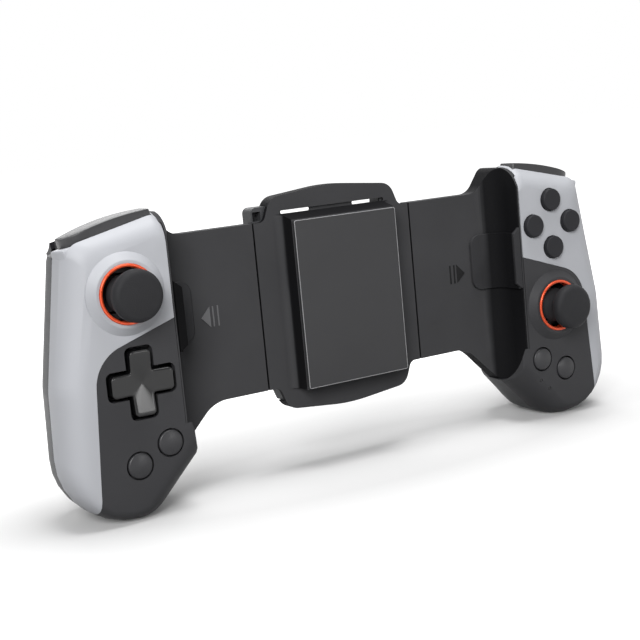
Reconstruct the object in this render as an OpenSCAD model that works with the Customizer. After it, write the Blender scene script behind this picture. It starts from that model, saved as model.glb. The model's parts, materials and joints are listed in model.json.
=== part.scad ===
// Telescopic game controller: two handles on sprung slide arms grip a phone against a centre block.
// Working frame: X to the right, front towards -Y, Z up. y = 0 is the front of the slide plates and
// z = 0 their mid height. in_place() then stands the part on z = 0 and centres its depth on y = 0.
// A handle is drawn for the right side with x = 0 on its inner wall; the left one is its mirror image.

/* [Phone bay] */
// Gap between the two inner walls with the arms pushed in
phone_gap = 138.8; // [132:0.2:150]
// How far each arm slides out
arm_travel = 20; // [12:1:20]
// Length of tongue that stays inside the tray at full stretch
tongue_grip = 9; // [7:0.5:9]
// Height of the slide plates
plate_h = 57; // [54:0.5:60]
// Thickness of the slide plates
plate_t = 5.4; // [5:0.1:5.8]
// Thickness of the tongues
tongue_t = 2; // [1.6:0.1:2.2]
// Fillet between a slide plate and the inner wall
bay_fillet = 8; // [6:0.5:9]
// Thickness of the inner wall
wall_t = 1.6; // [1.4:0.1:1.8]

/* [Centre housing] */
// Width of the front cover between the seams
cover_w = 62.8; // [61:0.2:66]
// Thickness of the front cover
cover_t = 1.6; // [1.4:0.1:1.8]
// Depth of the housing, front cover to tray back
housing_t = 7.8; // [7.4:0.1:9]
// Thickness of the tray floor
tray_floor = 1.6; // [1.2:0.1:1.8]
// Height of the rear tray
tray_h = 67.2; // [66:0.2:69]
// Width of the arched bulge at its foot
arch_w = 54.8; // [53:0.2:57]
// Height of the arched bulge above the plate edge, at its shoulder
arch_rise = 7.9; // [7.5:0.1:9]
// Extra height of the arch at mid width
arch_crown = 2.5; // [1.5:0.1:3]
// Width of the raised phone block
block_w = 41.4; // [38:0.2:44]
// Height of the raised phone block
block_h = 58.2; // [52:0.2:58.4]
// How far the rest pad stands in front of the slide plates
block_rise = 8.2; // [6:0.1:9]
// Thickness of the rest pad
pad_t = 1.2; // [0.8:0.1:2]
// Length of each vent slot above the block
slot_len = 11.6; // [8:0.2:13]
// Height of each vent slot
slot_h = 1.2; // [1:0.1:1.6]

/* [Handles] */
// Front face of the handles ahead of the slide plates
face_rise = 15; // [14.5:0.1:16]
// Back of the handles behind the front of the slide plates
back_y = 19; // [18:0.5:22]
// Height of the inner top corner above the plate centre line
grip_top = 38.5; // [37:0.5:40]
// Depth of the grip foot below the plate centre line
grip_foot = 58.5; // [56:0.5:60]
// Width of a handle at its top
grip_top_w = 33; // [32:0.5:36]
// Width of a handle at its foot, where its straight sides would meet the ground
grip_foot_w = 42; // [41:0.5:45]
// Thickness of the front skin
skin_t = 2.4; // [2:0.1:2.6]
// Width of the soft outer edge of the front face
edge_w = 8; // [6:0.5:9]

/* [Controls] */
// Left stick, sideways from the inner wall
left_stick_x = 16.1; // [15.5:0.1:17]
// Left stick, up from the centre line
left_stick_z = 13.8; // [13:0.1:14.5]
// Right stick, sideways from the inner wall
right_stick_x = 14.7; // [14:0.1:16]
// Right stick, up from the centre line
right_stick_z = -15.5; // [-17:0.1:-15]
// Diameter of a stick cap
cap_d = 16.3; // [15:0.1:17]
// Outer diameter of the orange ring
ring_d = 18.9; // [18.5:0.1:19.5]
// Wall of the orange ring
ring_wall = 1.1; // [0.8:0.05:1.2]
// Directional pad, sideways from the inner wall
dpad_x = 14.2; // [14:0.1:16]
// Directional pad, up from the centre line
dpad_z = -14.3; // [-15:0.1:-13.5]
// Span of the directional pad
dpad_span = 20.8; // [19:0.1:21]
// Width of its arms
dpad_arm = 7.2; // [6:0.1:7.6]
// Middle of the four face buttons, sideways from the inner wall
face_x = 15.2; // [15:0.1:16]
// Middle of the four face buttons, up from the centre line
face_z = 15; // [14.5:0.1:15.5]
// Distance of each face button from their middle
face_pitch = 8.8; // [8.2:0.1:8.8]
// Diameter of every round button
button_d = 8.2; // [7.4:0.1:8.4]
// Travel of a button
button_travel = 1.2; // [0.8:0.1:1.5]

/* [Clearances] */
// Seam between an arm and the front cover
seam = 0.6; // [0.4:0.1:1]
// Gap round parts that slide or press
run_gap = 0.3; // [0.2:0.05:0.4]
// Radial gap round a pin in its hole
pin_gap = 0.05; // [0.02:0.01:0.1]
// Gap between fixed mouldings
joint_gap = 0.1; // [0.05:0.05:0.2]

/* [Hidden] */
$fn = 48;
wall_x = phone_gap / 2;
arm_x = cover_w / 2 + seam;
half_h = plate_h / 2;
face_y = -face_rise;
skin_y = face_y + skin_t;
parting_y = -3;
edge_depth = 10;
foot_flat = 0.35;
stand = grip_foot - foot_flat;
// Points on each rounded corner of a handle section
arc_n = 7;
front_steps = 5;
rear_steps = 7;
rim_w = 0.8;
lap_y = skin_y + joint_gap;
// Height of the outer top corner, and the hip where the outer side turns towards the foot
outer_top = 31.2;
hip_x = grip_top_w + 7.3;
hip_z = -14;
top_slope = (grip_top - outer_top) / (grip_top_w - 1);
top_angle = atan(top_slope);
// The lower inner edge runs down at 45 degrees: x + z = diag on the outline, arm_diag on the slide arm
diag = -46.3;
arm_diag = -45.2;
// Lower end of the inner wall, and how far its soft front edge draws up and runs back
wall_foot = -42.2;
wall_edge = 14;
wall_depth = 13;
// Top of the inner wall, and how far its soft front edge draws down
wall_top = grip_top - 1.3;
wall_top_edge = 9;

// Sticks: pivot depth, cap heights above the pivot, skirt sphere and gimbal sizes
pivot_y = -8;
cap_top = 18.4;
cap_crown = 0.4;
cap_rim = 15.4;
cap_low = 14.5;
neck_top = 12.8;
neck_r = 3;
skirt_r = 9;
skirt_wall = 1;
skirt_half_angle = 44;
stem_r = 1.5;
stem_top = 14.8;
click = 0.6;
gimbal_w = 11.6;
gimbal_h = 10.8;
gimbal_t = 3.6;
gimbal_bore = 7;
gimbal_pin_r = 1;
module_w = 16.4;
module_cavity = 12.4;
module_rim = 2;
collar_r = 13;
collar_rise = 2.2;
collar_sink = 1.2;
ring_y = face_y - collar_rise - 0.5;
ring_len = 4.2;

// Boards and posts inside a handle
board_y = 0.2;
board_t = 1.6;
sheet_t = 1;
post_r = 2.4;
screw_r = 1;
head_r = 2.1;
head_y = 9.5;
head_t = 1.5;
// Thickness of a handle's outer side round its hollow, and the height of the hollow's outer corner
hollow_in = 5;
hollow_corner = outer_top - 5.1;
// The outer post keeps post_clear from the hollow's outer side
post_clear = 1.8;
post_z = 1;
POSTS = [[4.3, 27.6], [hollow_side(post_z) - post_r - post_clear, post_z], [26.6, -31]];
ROUND_BUTTONS = [[6.8, -34.9], [17.8, -40.1]];
FACE_BUTTONS = [[0, 1], [-1, 0], [1, 0], [0, -1]];
LIGHTS = [[5.6, -42.8], [9.4, -46.4]];

// Bumper and trigger, in a frame along the sloping top edge
bumper_x = 4;
bumper_from = -0.8;
bumper_to = 29.5;
bumper_round = 7;
bumper_front = -10.2;
bumper_back = -2.4;
bumper_low = -2.4;
bumper_pocket = -4.7;
bumper_pivot = [1.9, -2.9];
bumper_lug = 1.5;
crown_r = 45;
crown_top = [12.5, 2.3];
trunnion_r = 0.7;
trunnion_len = 0.8;
trigger_from = 5.8;
trigger_to = 24.5;
trigger_y = 2.4;
trigger_v = -3;
trigger_r = 16;
trigger_boss = 2.6;
trigger_tip_angle = -8.6;
trigger_end_angle = -55;
trigger_pull = 14;
trigger_pin_r = 1;
scoop = [13.2, 13.44];
scoop_r = 15.5;
scoop_tip_angle = -84.8;
scoop_boss_angle = -130.2;
// Wing at the trigger's outer end: its reach, its span behind the pin and its thickness
wing_to = 28.2;
wing_from_y = 2.6;
wing_to_y = 9;
wing_t = 1.6;
// Height of the ledge behind the bumper's outer end, and how far past the trigger it starts
ledge_v = -4.2;
ledge_from = 2.5;

// Springs and flex cables inside the tray
lane_z = 19;
lane_y = 4;
coil_r = 1.35;
wire_r = 0.25;
coil_turns = 12;
lane_slot = 4.4;
hook_x = cover_w / 2 - 5;
hook_r = 1.2;
ear_t = 2.4;
tongue_y = cover_t + 0.6;
tongue_in = arm_x - arm_travel - tongue_grip;
tongue_half = half_h - 2.3;
tray_y = cover_t + joint_gap;
cavity_y = housing_t - tray_floor;
ribbon_w = 10;
ribbon_t = 0.2;
ribbon_z = 8;
ribbon_pitch = 0.6;
ribbon_y = cavity_y - 0.4;

// The stick caps reach furthest forward and the handles furthest back
front_reach = pivot_y - cap_top - cap_crown;
depth_shift = -(front_reach + back_y) / 2;

// Outline helpers

function unit(v) = v / norm(v);

// Arc of k steps that rounds corner c, between its neighbours p and n, to radius r
function corner_arc(p, c, n, r, k) =
  let (a = unit(p - c), b = unit(n - c), half = acos(a * b) / 2,
       o = c + unit(a + b) * r / sin(half),
       t1 = c + a * r / tan(half) - o, t2 = c + b * r / tan(half) - o,
       a1 = atan2(t1[1], t1[0]), turn = (atan2(t2[1], t2[0]) - a1 + 540) % 360 - 180)
  [for (i = [0:k]) o + r * [cos(a1 + turn * i / k), sin(a1 + turn * i / k)]];

function xy(c) = [c[0], c[1]];

// Closed outline from corners [x, y, radius], with k steps on each rounded corner
function outline(corners, k = 8) =
  let (n = len(corners))
  [for (i = [0:n - 1])
    let (c = corners[i])
    each c[2] == 0 ? [xy(c)]
      : corner_arc(xy(corners[(i + n - 1) % n]), xy(c), xy(corners[(i + 1) % n]), c[2], k)];

function mirrored_corners(corners) = [for (i = [len(corners) - 1:-1:0])
  [-corners[i][0], corners[i][1], corners[i][2]]];

// Arc points of radius r about o, from angle a0 to a1
function arc(o, r, a0, a1, k) = [for (i = [0:k])
  let (a = a0 + (a1 - a0) * i / k) o + r * [cos(a), sin(a)]];

// Rectangle w by h about the origin, corners rounded to r
module rounded(w, h, r) {
  polygon(outline([[-w / 2, h / 2, r], [w / 2, h / 2, r], [w / 2, -h / 2, r], [-w / 2, -h / 2, r]], 6));
}

// Placing helpers

module in_place() { translate([0, depth_shift, stand]) children(); }

module handle(side) {
  in_place()
    if (side < 0) mirror([1, 0, 0]) translate([wall_x, 0, 0]) children();
    else translate([wall_x, 0, 0]) children();
}

// Extrude a shape drawn in X and Z from depth y0 back to depth y1
module slab(y0, y1) { translate([0, y1, 0]) rotate([90, 0, 0]) linear_extrude(height = y1 - y0) children(); }

// Extrude a shape drawn in X and Y from height z0 to z1
module upright(z0, z1) { translate([0, 0, z0]) linear_extrude(height = z1 - z0) children(); }

// Round bar along Y at x, z
module bar(x, z, r, y0, y1) { translate([x, y1, z]) rotate([90, 0, 0]) cylinder(r = r, h = y1 - y0); }

// Revolve a profile drawn as radius and height about the forward axis through [x, y, z]
module turned(at) { translate(at) rotate([90, 0, 0]) rotate_extrude($fn = 72) children(); }

module box(lo, hi) { translate(lo) cube(hi - lo); }

// Skin over a stack of sections, each a list of points in order
module loft(sections) {
  n = len(sections[0]);
  m = len(sections);
  polyhedron(points = [for (s = sections) each s],
    faces = concat([[for (i = [0:n - 1]) i]], [[for (i = [n - 1:-1:0]) (m - 1) * n + i]],
      [for (j = [0:m - 2], i = [0:n - 1])
        let (a = j * n + i, b = j * n + (i + 1) % n)
        each [[a, a + n, b + n], [a, b + n, b]]]));
}

// Frame along the sloping top edge of a handle: x runs outwards, z stands off the edge
module on_top_edge() {
  translate([bumper_x, 0, grip_top - top_slope * (bumper_x - 1)]) rotate([0, top_angle, 0]) children();
}

// Sections of a handle

// Full outline at the parting line
foot_run = grip_foot_w - diag - grip_foot;
FULL = [[0.8, grip_top, 3], [grip_top_w, outer_top, 5], [hip_x, hip_z, 30],
  [grip_foot_w, -grip_foot, 0.75 * foot_run], [diag + grip_foot, -grip_foot, 0.45 * foot_run],
  [diag - wall_foot, wall_foot, 1]];

// Flat part of the front face, inside the soft edge
edge_top = 8;
edge_corner = 8.5;
edge_foot = 4.6;
flat_diag = diag + 7 * sqrt(2);
flat_foot = edge_foot - grip_foot;
flat_run = grip_foot_w - edge_w - flat_diag + flat_foot;
FLAT = [[0.8, grip_top - edge_top, 3],
  [grip_top_w - edge_corner, outer_top - edge_top + edge_corner * top_slope, 7],
  [hip_x - edge_w, hip_z, 30],
  [grip_foot_w - edge_w, flat_foot, 0.72 * flat_run],
  [flat_diag - flat_foot, flat_foot, 0.45 * flat_run],
  [-1.4, flat_diag + 1.4, 1]];

// Flat back of the handle, and how late each corner's height starts to draw in
BACK = [[8, 17, 5], [20, 20, 7], [25.5, -12, 20], [25, -40, 7], [14.5, -40, 6], [7, -33, 2]];
BACK_LATE = [0.8, 1, 1, 2, 2.5, 2.5];

// Hollow behind the front skin
hollow_diag = diag + 6.8;
hollow_foot = 5.5 - grip_foot;
hollow_run = grip_foot_w - hollow_in - hollow_diag + hollow_foot;
HOLLOW = [[-1, grip_top - 5.9, 0], [grip_top_w - hollow_in, hollow_corner, 6], [hip_x - hollow_in, hip_z, 0],
  [grip_foot_w - hollow_in, hollow_foot, 0.64 * hollow_run],
  [hollow_diag - hollow_foot, hollow_foot, 0.45 * hollow_run], [-1, hollow_diag + 1, 0]];

// Outer side of the hollow at a height between its corner and the hip
function hollow_side(z) =
  grip_top_w - hollow_in + (hip_x - grip_top_w) * (hollow_corner - z) / (hollow_corner - hip_z);

function mixed(p, q, w, late) = [for (i = [0:len(p) - 1])
  let (wz = pow(w, late[i]))
  [p[i][0] + (q[i][0] - p[i][0]) * w, p[i][1] + (q[i][1] - p[i][1]) * wz, p[i][2] + (q[i][2] - p[i][2]) * w]];

function section(corners, y) = [for (p = outline(corners, arc_n)) [p[0], y, p[1]]];

// Front half: the flat face swells through a soft elliptical edge to the full outline
module front_half() {
  even = [for (c = FULL) 1];
  loft(concat(
    [for (i = [0:front_steps]) let (f = 90 * i / front_steps)
      section(mixed(FLAT, FULL, sin(f), even), face_y + edge_depth * (1 - cos(f)))],
    [section(FULL, parting_y - joint_gap)]));
}

// Rear half: the full outline draws in along an ellipse to the flat back
module rear_half() {
  loft([for (i = [0:rear_steps]) let (t = 90 * i / rear_steps)
    section(mixed(FULL, BACK, 1 - cos(t), BACK_LATE), parting_y + (back_y - parting_y) * sin(t))]);
}

// Region of the dark lower panel, grown by extra: the split falls outwards, then turns down the outer side
split_z = 4.4;
split_slope = 0.335;
split_corner = 28.3;
split_foot = 32.5;
module panel_region(extra) {
  low = -grip_foot - 4;
  slab(face_y - 1, parting_y + 1)
    polygon(outline([[-8, split_z + 8 * split_slope + extra, 0],
      [split_corner + extra, split_z - split_corner * split_slope + extra, 13],
      [split_foot + extra, low, 0], [-8, low, 0]], 12));
}

// Slot behind the faceplate that the bumper sits in, open at its outer end
module bumper_pocket() {
  on_top_edge() box([bumper_from - run_gap, bumper_front - run_gap, bumper_pocket], [60, bumper_back + run_gap, 20]);
}

// Bearing holes of the bumper's two trunnions
module bumper_bores() {
  on_top_edge() bar(bumper_pivot[0], bumper_pivot[1], trunnion_r + pin_gap,
    bumper_front - trunnion_len - 0.2, bumper_back + trunnion_len + 0.2);
}

module foot_cut() { box([-20, -40, -grip_foot - 20], [80, 40, -stand]); }

// Everything above the inner wall's lower end, which draws up at the front, in Y and Z
module above_foot(grow) {
  y1 = face_y + wall_depth;
  steps = 12;
  polygon(concat([[30, 80], [face_y - 5, 80], [face_y - 5, wall_foot + wall_edge]],
    [for (i = [0:steps]) let (f = 90 * i / steps)
      [y1 - (wall_depth + grow) * cos(f), wall_foot + wall_edge - (wall_edge + grow) * sin(f)]],
    [[30, wall_foot - grow]]));
}

// Extrude a shape drawn in Y and Z from x0 to x1
module along(x0, x1) { translate([x0, 0, 0]) rotate([90, 0, 90]) linear_extrude(height = x1 - x0) children(); }

// Room for the inner wall out to x1, between two depths
module wall_room(x1, y0, y1) {
  intersection() {
    box([-20, y0, -80], [x1, y1, 80]);
    along(-20, x1) above_foot(joint_gap);
  }
}

// What both front mouldings lose: the hollow, the room for the inner wall, the bumper slot and the foot flat
module front_cuts() {
  slab(skin_y, 10) polygon(outline(HOLLOW, 8));
  wall_room(rim_w + 2 * joint_gap, face_y - 1, lap_y);
  wall_room(wall_t + joint_gap, lap_y - 2 * joint_gap, 10);
  bumper_pocket();
  bumper_bores();
  foot_cut();
}

// Screw posts that hang behind the front skin
module posts(which) {
  for (i = which)
    difference() {
      bar(POSTS[i][0], POSTS[i][1], post_r, skin_y - 0.5, board_y - joint_gap);
      bar(POSTS[i][0], POSTS[i][1], screw_r + pin_gap, skin_y + 4, board_y + 1);
    }
}

// Cone-shaped collar round a stick, with a soft shoulder, and the hole through it
module collar(x, z) {
  top_r = ring_d / 2 + 0.7;
  shoulder_r = 0.8;
  turned([x, face_y + collar_sink, z])
    polygon(concat([[0, 0], [collar_r, 0], [collar_r, collar_sink + 0.05]],
      arc([top_r, collar_sink + collar_rise - shoulder_r], shoulder_r, 50, 90, 4),
      [[0, collar_sink + collar_rise]]));
}

module collar_hole(x, z) { bar(x, z, ring_d / 2 + pin_gap, face_y - 10, skin_y + 1); }

module button_hole(x, z, gap) { bar(x, z, button_d / 2 + gap, face_y - 5, skin_y + 1); }

face_gap = 0.25;
round_gap = 0.5;

// Cross of the directional pad drawn in X and Z
module cross(span, arm, r) {
  for (turn = [0, 90]) rotate(turn)
    rounded(span, arm, r);
}

// Centre housing

// Front view of the centre housing, drawn in by inset
module cover_outline(inset) {
  w = cover_w / 2 - inset;
  foot = half_h - inset;
  top = half_h + arch_rise - inset;
  arch = arch_w / 2 - inset;
  quarter = [[w, foot, 0], [arch, foot, 2.5], [arch - 3, top, 5.5]];
  inward = [for (i = [2:-1:0]) quarter[i]];
  half = concat(mirrored_corners(inward), [[0, top + arch_crown, 70]], inward);
  lower = [for (i = [len(half) - 1:-1:0]) [half[i][0], -half[i][1], half[i][2]]];
  polygon(outline(concat(half, lower), 12));
}

block_z = -0.4;
block_base_fillet = 3;
block_top = block_z + block_h / 2;
block_slope = 1.7;
screw_x = 23.2;
screw_z = 30.4;
slot_x = block_w / 2 - 0.5 - slot_len / 2;
slot_z = block_top + block_slope + slot_h / 2 + 0.05;
groove_depth = 0.9;

// Two vent slots through the cover, joined by a shallow groove
module vent_slots() {
  for (side = [-1, 1])
    translate([side * slot_x, 0, slot_z]) slab(-1, 10) rounded(slot_len, slot_h, 0.5);
  translate([0, 0, slot_z]) slab(-1, groove_depth) rounded(2 * slot_x + slot_len + 2, slot_h, 0.5);
}

// Riser of the phone block: straight sides with a soft fillet at the foot, and a top that slopes back
module riser() {
  w = block_w / 2;
  f = block_base_fillet;
  side = concat([[w, pad_t - block_rise]], arc([w + f, -f], f, 180, 90, 8));
  left = [for (i = [len(side) - 1:-1:0]) [-side[i][0], side[i][1]]];
  low = block_z - block_h / 2;
  intersection() {
    upright(low, block_top + 5) polygon(concat(side, [[w + f, 0.5], [-w - f, 0.5]], left));
    along(-40, 40) polygon([[-block_rise, low - 1], [-block_rise, block_top], [pad_t - block_rise, block_top],
      [0, block_top + block_slope], [2, block_top + block_slope], [2, low - 1]]);
  }
}

module centre_front_cover() {
  color("#3c3d40") in_place() difference() {
    union() {
      slab(0, cover_t) cover_outline(0);
      intersection() {
        slab(0, housing_t - 2) cover_outline(0);
        union() {
          box([-50, -1, tray_h / 2 + joint_gap], [50, 10, 60]);
          box([-50, -1, -60], [50, 10, -tray_h / 2 - joint_gap]);
        }
      }
      riser();
    }
    vent_slots();
    for (x = [-screw_x, screw_x], z = [-screw_z, screw_z]) bar(x, z, screw_r + pin_gap, 0.6, 3);
  }
}

module rest_pad() {
  color("#46474a") in_place() translate([0, 0, block_z])
    slab(-block_rise, pad_t - block_rise) rounded(block_w - 0.6, block_h - 0.6, 0.8);
}

// Rear tray: it follows the cover's outline, with one recessed ear at the top left
module centre_rear_tray() {
  w = cover_w / 2 - 0.2;
  recess = 3.1;
  recess_x = 0.6 - w;
  recess_z = half_h + 0.5;
  color("#4a4b4e") in_place() {
    difference() {
      union() {
        intersection() {
          slab(tray_y, housing_t) cover_outline(0.4);
          box([-w, 0, -tray_h / 2], [w, housing_t + 1, tray_h / 2]);
        }
        translate([-w / 2, 0, tray_h / 4]) slab(tray_y, housing_t) rounded(w, tray_h / 2, 2);
      }
      box([-50, 0, -tongue_half - run_gap], [50, cavity_y, tongue_half + run_gap]);
      translate([0, 0, slot_z]) slab(0, 20) rounded(2 * slot_x + slot_len + 0.5, slot_h + 1.6, 0.8);
      box([recess_x, 0, recess_z], [recess_x + recess, tray_y + 3.6, recess_z + recess]);
      for (x = [-screw_x, screw_x], z = [-screw_z, screw_z]) {
        bar(x, z, screw_r + pin_gap, 0, housing_t + 1);
        bar(x, z, head_r + pin_gap, housing_t - head_t, housing_t + 1);
      }
    }
    for (side = [-1, 1]) bar(side * hook_x, side * lane_z, hook_r, lane_y - 1.2, cavity_y + 0.5);
  }
}

// Pan head screw from head_y at its seat: shank forwards to tip_y
module screw(x, z, tip_y, seat_y) {
  difference() {
    union() {
      bar(x, z, screw_r, tip_y, seat_y + 0.2);
      bar(x, z, head_r, seat_y, seat_y + head_t);
    }
    for (turn = [0, 90]) translate([x, 0, z]) rotate([0, turn, 0])
      box([-1.2, seat_y + head_t - 0.7, -0.3], [1.2, seat_y + head_t + 1, 0.3]);
  }
}

module centre_screws() {
  color("silver") in_place()
    for (x = [-screw_x, screw_x], z = [-screw_z, screw_z]) screw(x, z, 0.8, housing_t - head_t);
}

// Return spring: one helix of wire, from its tongue's ear to its hook on the tray
module coil(x0, x1) {
  steps = 8 * coil_turns;
  lead = (x1 - x0) / (2 * PI * coil_r * coil_turns);
  loft([for (i = [0:steps])
    let (t = i / steps, a = 360 * coil_turns * t, out = [0, cos(a), sin(a)],
         c = [x0 + (x1 - x0) * t, 0, 0] + coil_r * out, along = unit([1, lead * sin(a), -lead * cos(a)]))
    [for (k = [0:5]) c + wire_r * (out * cos(60 * k) + along * sin(60 * k))]]);
}

spring_from = -tongue_in + run_gap + 0.1;
spring_to = hook_x - hook_r - run_gap;
spring_gap = (spring_to - spring_from) / coil_turns - 2 * wire_r;
echo(least_gap_between_spring_curls = spring_gap);

module slide_spring(side) {
  color("silver") in_place()
    rotate([0, side < 0 ? 0 : 180, 0]) translate([0, lane_y, lane_z]) coil(spring_from, spring_to);
}

module left_slide_spring() { slide_spring(-1); }

module right_slide_spring() { slide_spring(1); }

// Flat flex cable in three folds, from the far end of the tray to the inner end of its tongue
module flex_cable(side) {
  x0 = 5 - cover_w / 2;
  x1 = tongue_in + ear_t;
  color("#b5622b") in_place() rotate([0, side > 0 ? 0 : 180, 0])
    upright(ribbon_z - ribbon_w / 2, ribbon_z + ribbon_w / 2) {
      for (i = [0:2]) translate([x0, ribbon_y - i * ribbon_pitch]) square([x1 - x0, ribbon_t]);
      fold(x1, ribbon_y + ribbon_t / 2 - 0.5 * ribbon_pitch, 0);
      fold(x0, ribbon_y + ribbon_t / 2 - 1.5 * ribbon_pitch, 180);
    }
}

// Half-round bend between two runs of the cable
module fold(x, y, turn) {
  translate([x, y]) rotate(turn) difference() {
    circle(r = (ribbon_pitch + ribbon_t) / 2, $fn = 24);
    circle(r = (ribbon_pitch - ribbon_t) / 2, $fn = 24);
    translate([-2, -2]) square([2, 4]);
  }
}

module left_flex_cable() { flex_cable(-1); }

module right_flex_cable() { flex_cable(1); }

// Slide arm: plate, inner wall and tongue

// Front view of the plate and wall, which flare into the handle above and below
module arm_front() {
  in_x = arm_x - wall_x;
  top = wall_top + 0.2;
  polygon(outline([[in_x, half_h, 0], [-7.4, half_h, 7], [-0.9, top, 4.5], [wall_t, top, 0],
    [wall_t, arm_diag - wall_t, 0], [arm_diag + half_h, -half_h, 12],
    [in_x, -half_h, 0]], 14));
}

// Everything below the inner wall's top, which follows the soft edge of the handle's face, in Y and Z
module below_top() {
  y1 = face_y + edge_depth;
  steps = 12;
  polygon(concat([[30, -80], [face_y, -80]],
    [for (i = [0:steps]) let (f = 90 * i / steps)
      [y1 - edge_depth * cos(f), wall_top - wall_top_edge * (1 - sin(f))]],
    [[30, wall_top]]));
}

// Plan of the plate and wall, with the fillet that the phone's edge faces
module arm_plan() {
  polygon(concat([[arm_x - wall_x, plate_t], [arm_x - wall_x, 0]],
    arc([-bay_fillet, -bay_fillet], bay_fillet, 90, 0, 14),
    [[0, face_y + 0.5], [0.3, face_y + 0.2], [rim_w, face_y + 0.2], [rim_w, lap_y], [wall_t, lap_y],
      [wall_t, plate_t]]));
}

module slide_arm(side) {
  tongue = tongue_in - wall_x;
  root = arm_x - wall_x + 3;
  color("#3c3d40") handle(side) {
    intersection() {
      upright(-80, 80) arm_plan();
      slab(-30, 30) arm_front();
      along(-60, 20) above_foot(0);
      along(-60, 20) below_top();
    }
    difference() {
      box([tongue, tongue_y, -tongue_half], [root, tongue_y + tongue_t, tongue_half]);
      translate([tongue - 1, 0, side * lane_z - lane_slot / 2])
        cube([arm_x - tongue_in - 0.6, 10, lane_slot]);
    }
    translate([tongue, tongue_y, -side * lane_z - lane_slot / 2])
      cube([ear_t, lane_y + 1.4 - tongue_y, lane_slot]);
  }
}

module left_slide_arm() { slide_arm(-1); }

module right_slide_arm() { slide_arm(1); }

// Rubber pad on the inner wall, with a lip over the phone's edge

pad_low = -7.2;
pad_high = 14.6;
pad_wall = 1.2;
lip_out = 2.8;
lip_t = 1.5;
pad_foot = 12;
pad_corner = 4;

module clamp_pad(side) {
  g = joint_gap / 2;
  inner = bay_fillet - g;
  high = pad_high - 1.4;
  color("#1d1d1f") handle(side) {
    intersection() {
      upright(pad_low, high) polygon(concat(
        [[-pad_foot, -g]], arc([-bay_fillet, -bay_fillet], inner, 90, 0, 12),
        [[-g, face_y + 0.6], [-pad_wall, face_y + 0.6]],
        arc([-bay_fillet, -bay_fillet], bay_fillet - pad_wall, 0, 90, 12), [[-pad_foot, -pad_wall]]));
      slab(-30, 5) polygon(outline([[5, high + 1, 0], [5, pad_low - 1, 0], [-3, pad_low - 1, 0],
        [-3, pad_low, 0], [-pad_foot, pad_low, pad_corner], [-pad_foot, high, pad_corner], [-3, high, 0],
        [-3, high + 1, 0]], 8));
    }
    slab(face_y - 0.1, face_y - 0.1 + lip_t)
      polygon([[-g, pad_high + 0.8], [-lip_out, pad_high - 1.4], [-lip_out, pad_low + 2], [-g, pad_low]]);
  }
}

module left_clamp_pad() { clamp_pad(-1); }

module right_clamp_pad() { clamp_pad(1); }

// Front mouldings

module left_faceplate() {
  color("#c8cad0") handle(-1) {
    difference() {
      union() {
        difference() {
          front_half();
          panel_region(joint_gap);
        }
        collar(left_stick_x, left_stick_z);
      }
      front_cuts();
      collar_hole(left_stick_x, left_stick_z);
    }
    posts([0, 1]);
  }
}

module left_front_panel() {
  color("#3c3d40") handle(-1) {
    difference() {
      intersection() {
        front_half();
        panel_region(0);
      }
      front_cuts();
      translate([dpad_x, 0, dpad_z]) slab(face_y - 5, skin_y + 1) cross(dpad_span + 2.4, dpad_arm + 2.2, 2);
      for (b = ROUND_BUTTONS) button_hole(b[0], b[1], round_gap);
    }
    posts([2]);
  }
}

module right_faceplate() {
  color("#c8cad0") handle(1) {
    difference() {
      front_half();
      panel_region(joint_gap);
      front_cuts();
      for (b = FACE_BUTTONS) button_hole(face_x + b[0] * face_pitch, face_z + b[1] * face_pitch, face_gap);
    }
    posts([0, 1]);
  }
}

module right_front_panel() {
  color("#3c3d40") handle(1) {
    difference() {
      union() {
        intersection() {
          front_half();
          panel_region(0);
        }
        collar(right_stick_x, right_stick_z);
      }
      front_cuts();
      collar_hole(right_stick_x, right_stick_z);
      for (b = ROUND_BUTTONS) button_hole(b[0], b[1], round_gap);
      for (l = LIGHTS) bar(l[0], l[1], light_r + pin_gap, face_y - 5, skin_y + 3);
    }
    posts([2]);
  }
}

// Rear shell

boss_r = 2.6;
deep_y = 8.5;
socket_z = -26;
socket_y = 3.4;
socket_w = 8.9;
socket_h = 3.2;
socket_from = 32.6;
socket_to = 39.6;

// Blend from the back of the slide plate up to the rear shell
module shoulder() {
  r = 8.5;
  reach = -r;
  gap_y = plate_t + joint_gap;
  intersection() {
    upright(-80, 80) polygon(concat([[6, gap_y], [reach, gap_y], [reach, gap_y + 0.4]],
      arc([reach, gap_y + 0.4 + r], r, -90, 0, 10), [[6, gap_y + 0.4 + r]]));
    slab(-30, 30) polygon(outline([[-20, half_h - 2, 0], [0.4, half_h - 2, 3], [4.6, half_h + 3.4, 1],
      [6, half_h + 3.4, 0], [6, diag + 3, 0], [-4, diag + 9, 6], [-20, 4 - half_h, 0]], 10));
  }
}

// Space swept by the trigger, open to the top and the back
module trigger_pocket() {
  on_top_edge() translate([trigger_from - run_gap, trigger_y, trigger_v]) rotate([90, 0, 90])
    linear_extrude(height = trigger_to - trigger_from + 2 * run_gap) {
      circle(r = trigger_boss + run_gap);
      polygon(concat([[-trigger_boss - run_gap, 0], [-trigger_boss - run_gap, 30], [60, 30]],
        [[60, 0]], arc([0, 0], trigger_r + 0.5, 0, trigger_end_angle - trigger_pull - 6, 14), [[0, 0]]));
    }
  on_top_edge() translate([trigger_to, trigger_y, trigger_v]) rotate([90, 0, 90])
    linear_extrude(height = 12)
      polygon([[wing_from_y - run_gap, 30], [wing_from_y - run_gap, -1.7], [wing_to_y + 0.5, -6.6],
        [wing_to_y + 0.5, 0], [60, 0], [60, 30]]);
  on_top_edge() box([trigger_to + ledge_from, parting_y - 1, ledge_v], [60, trigger_y + wing_from_y, 20]);
}

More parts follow.
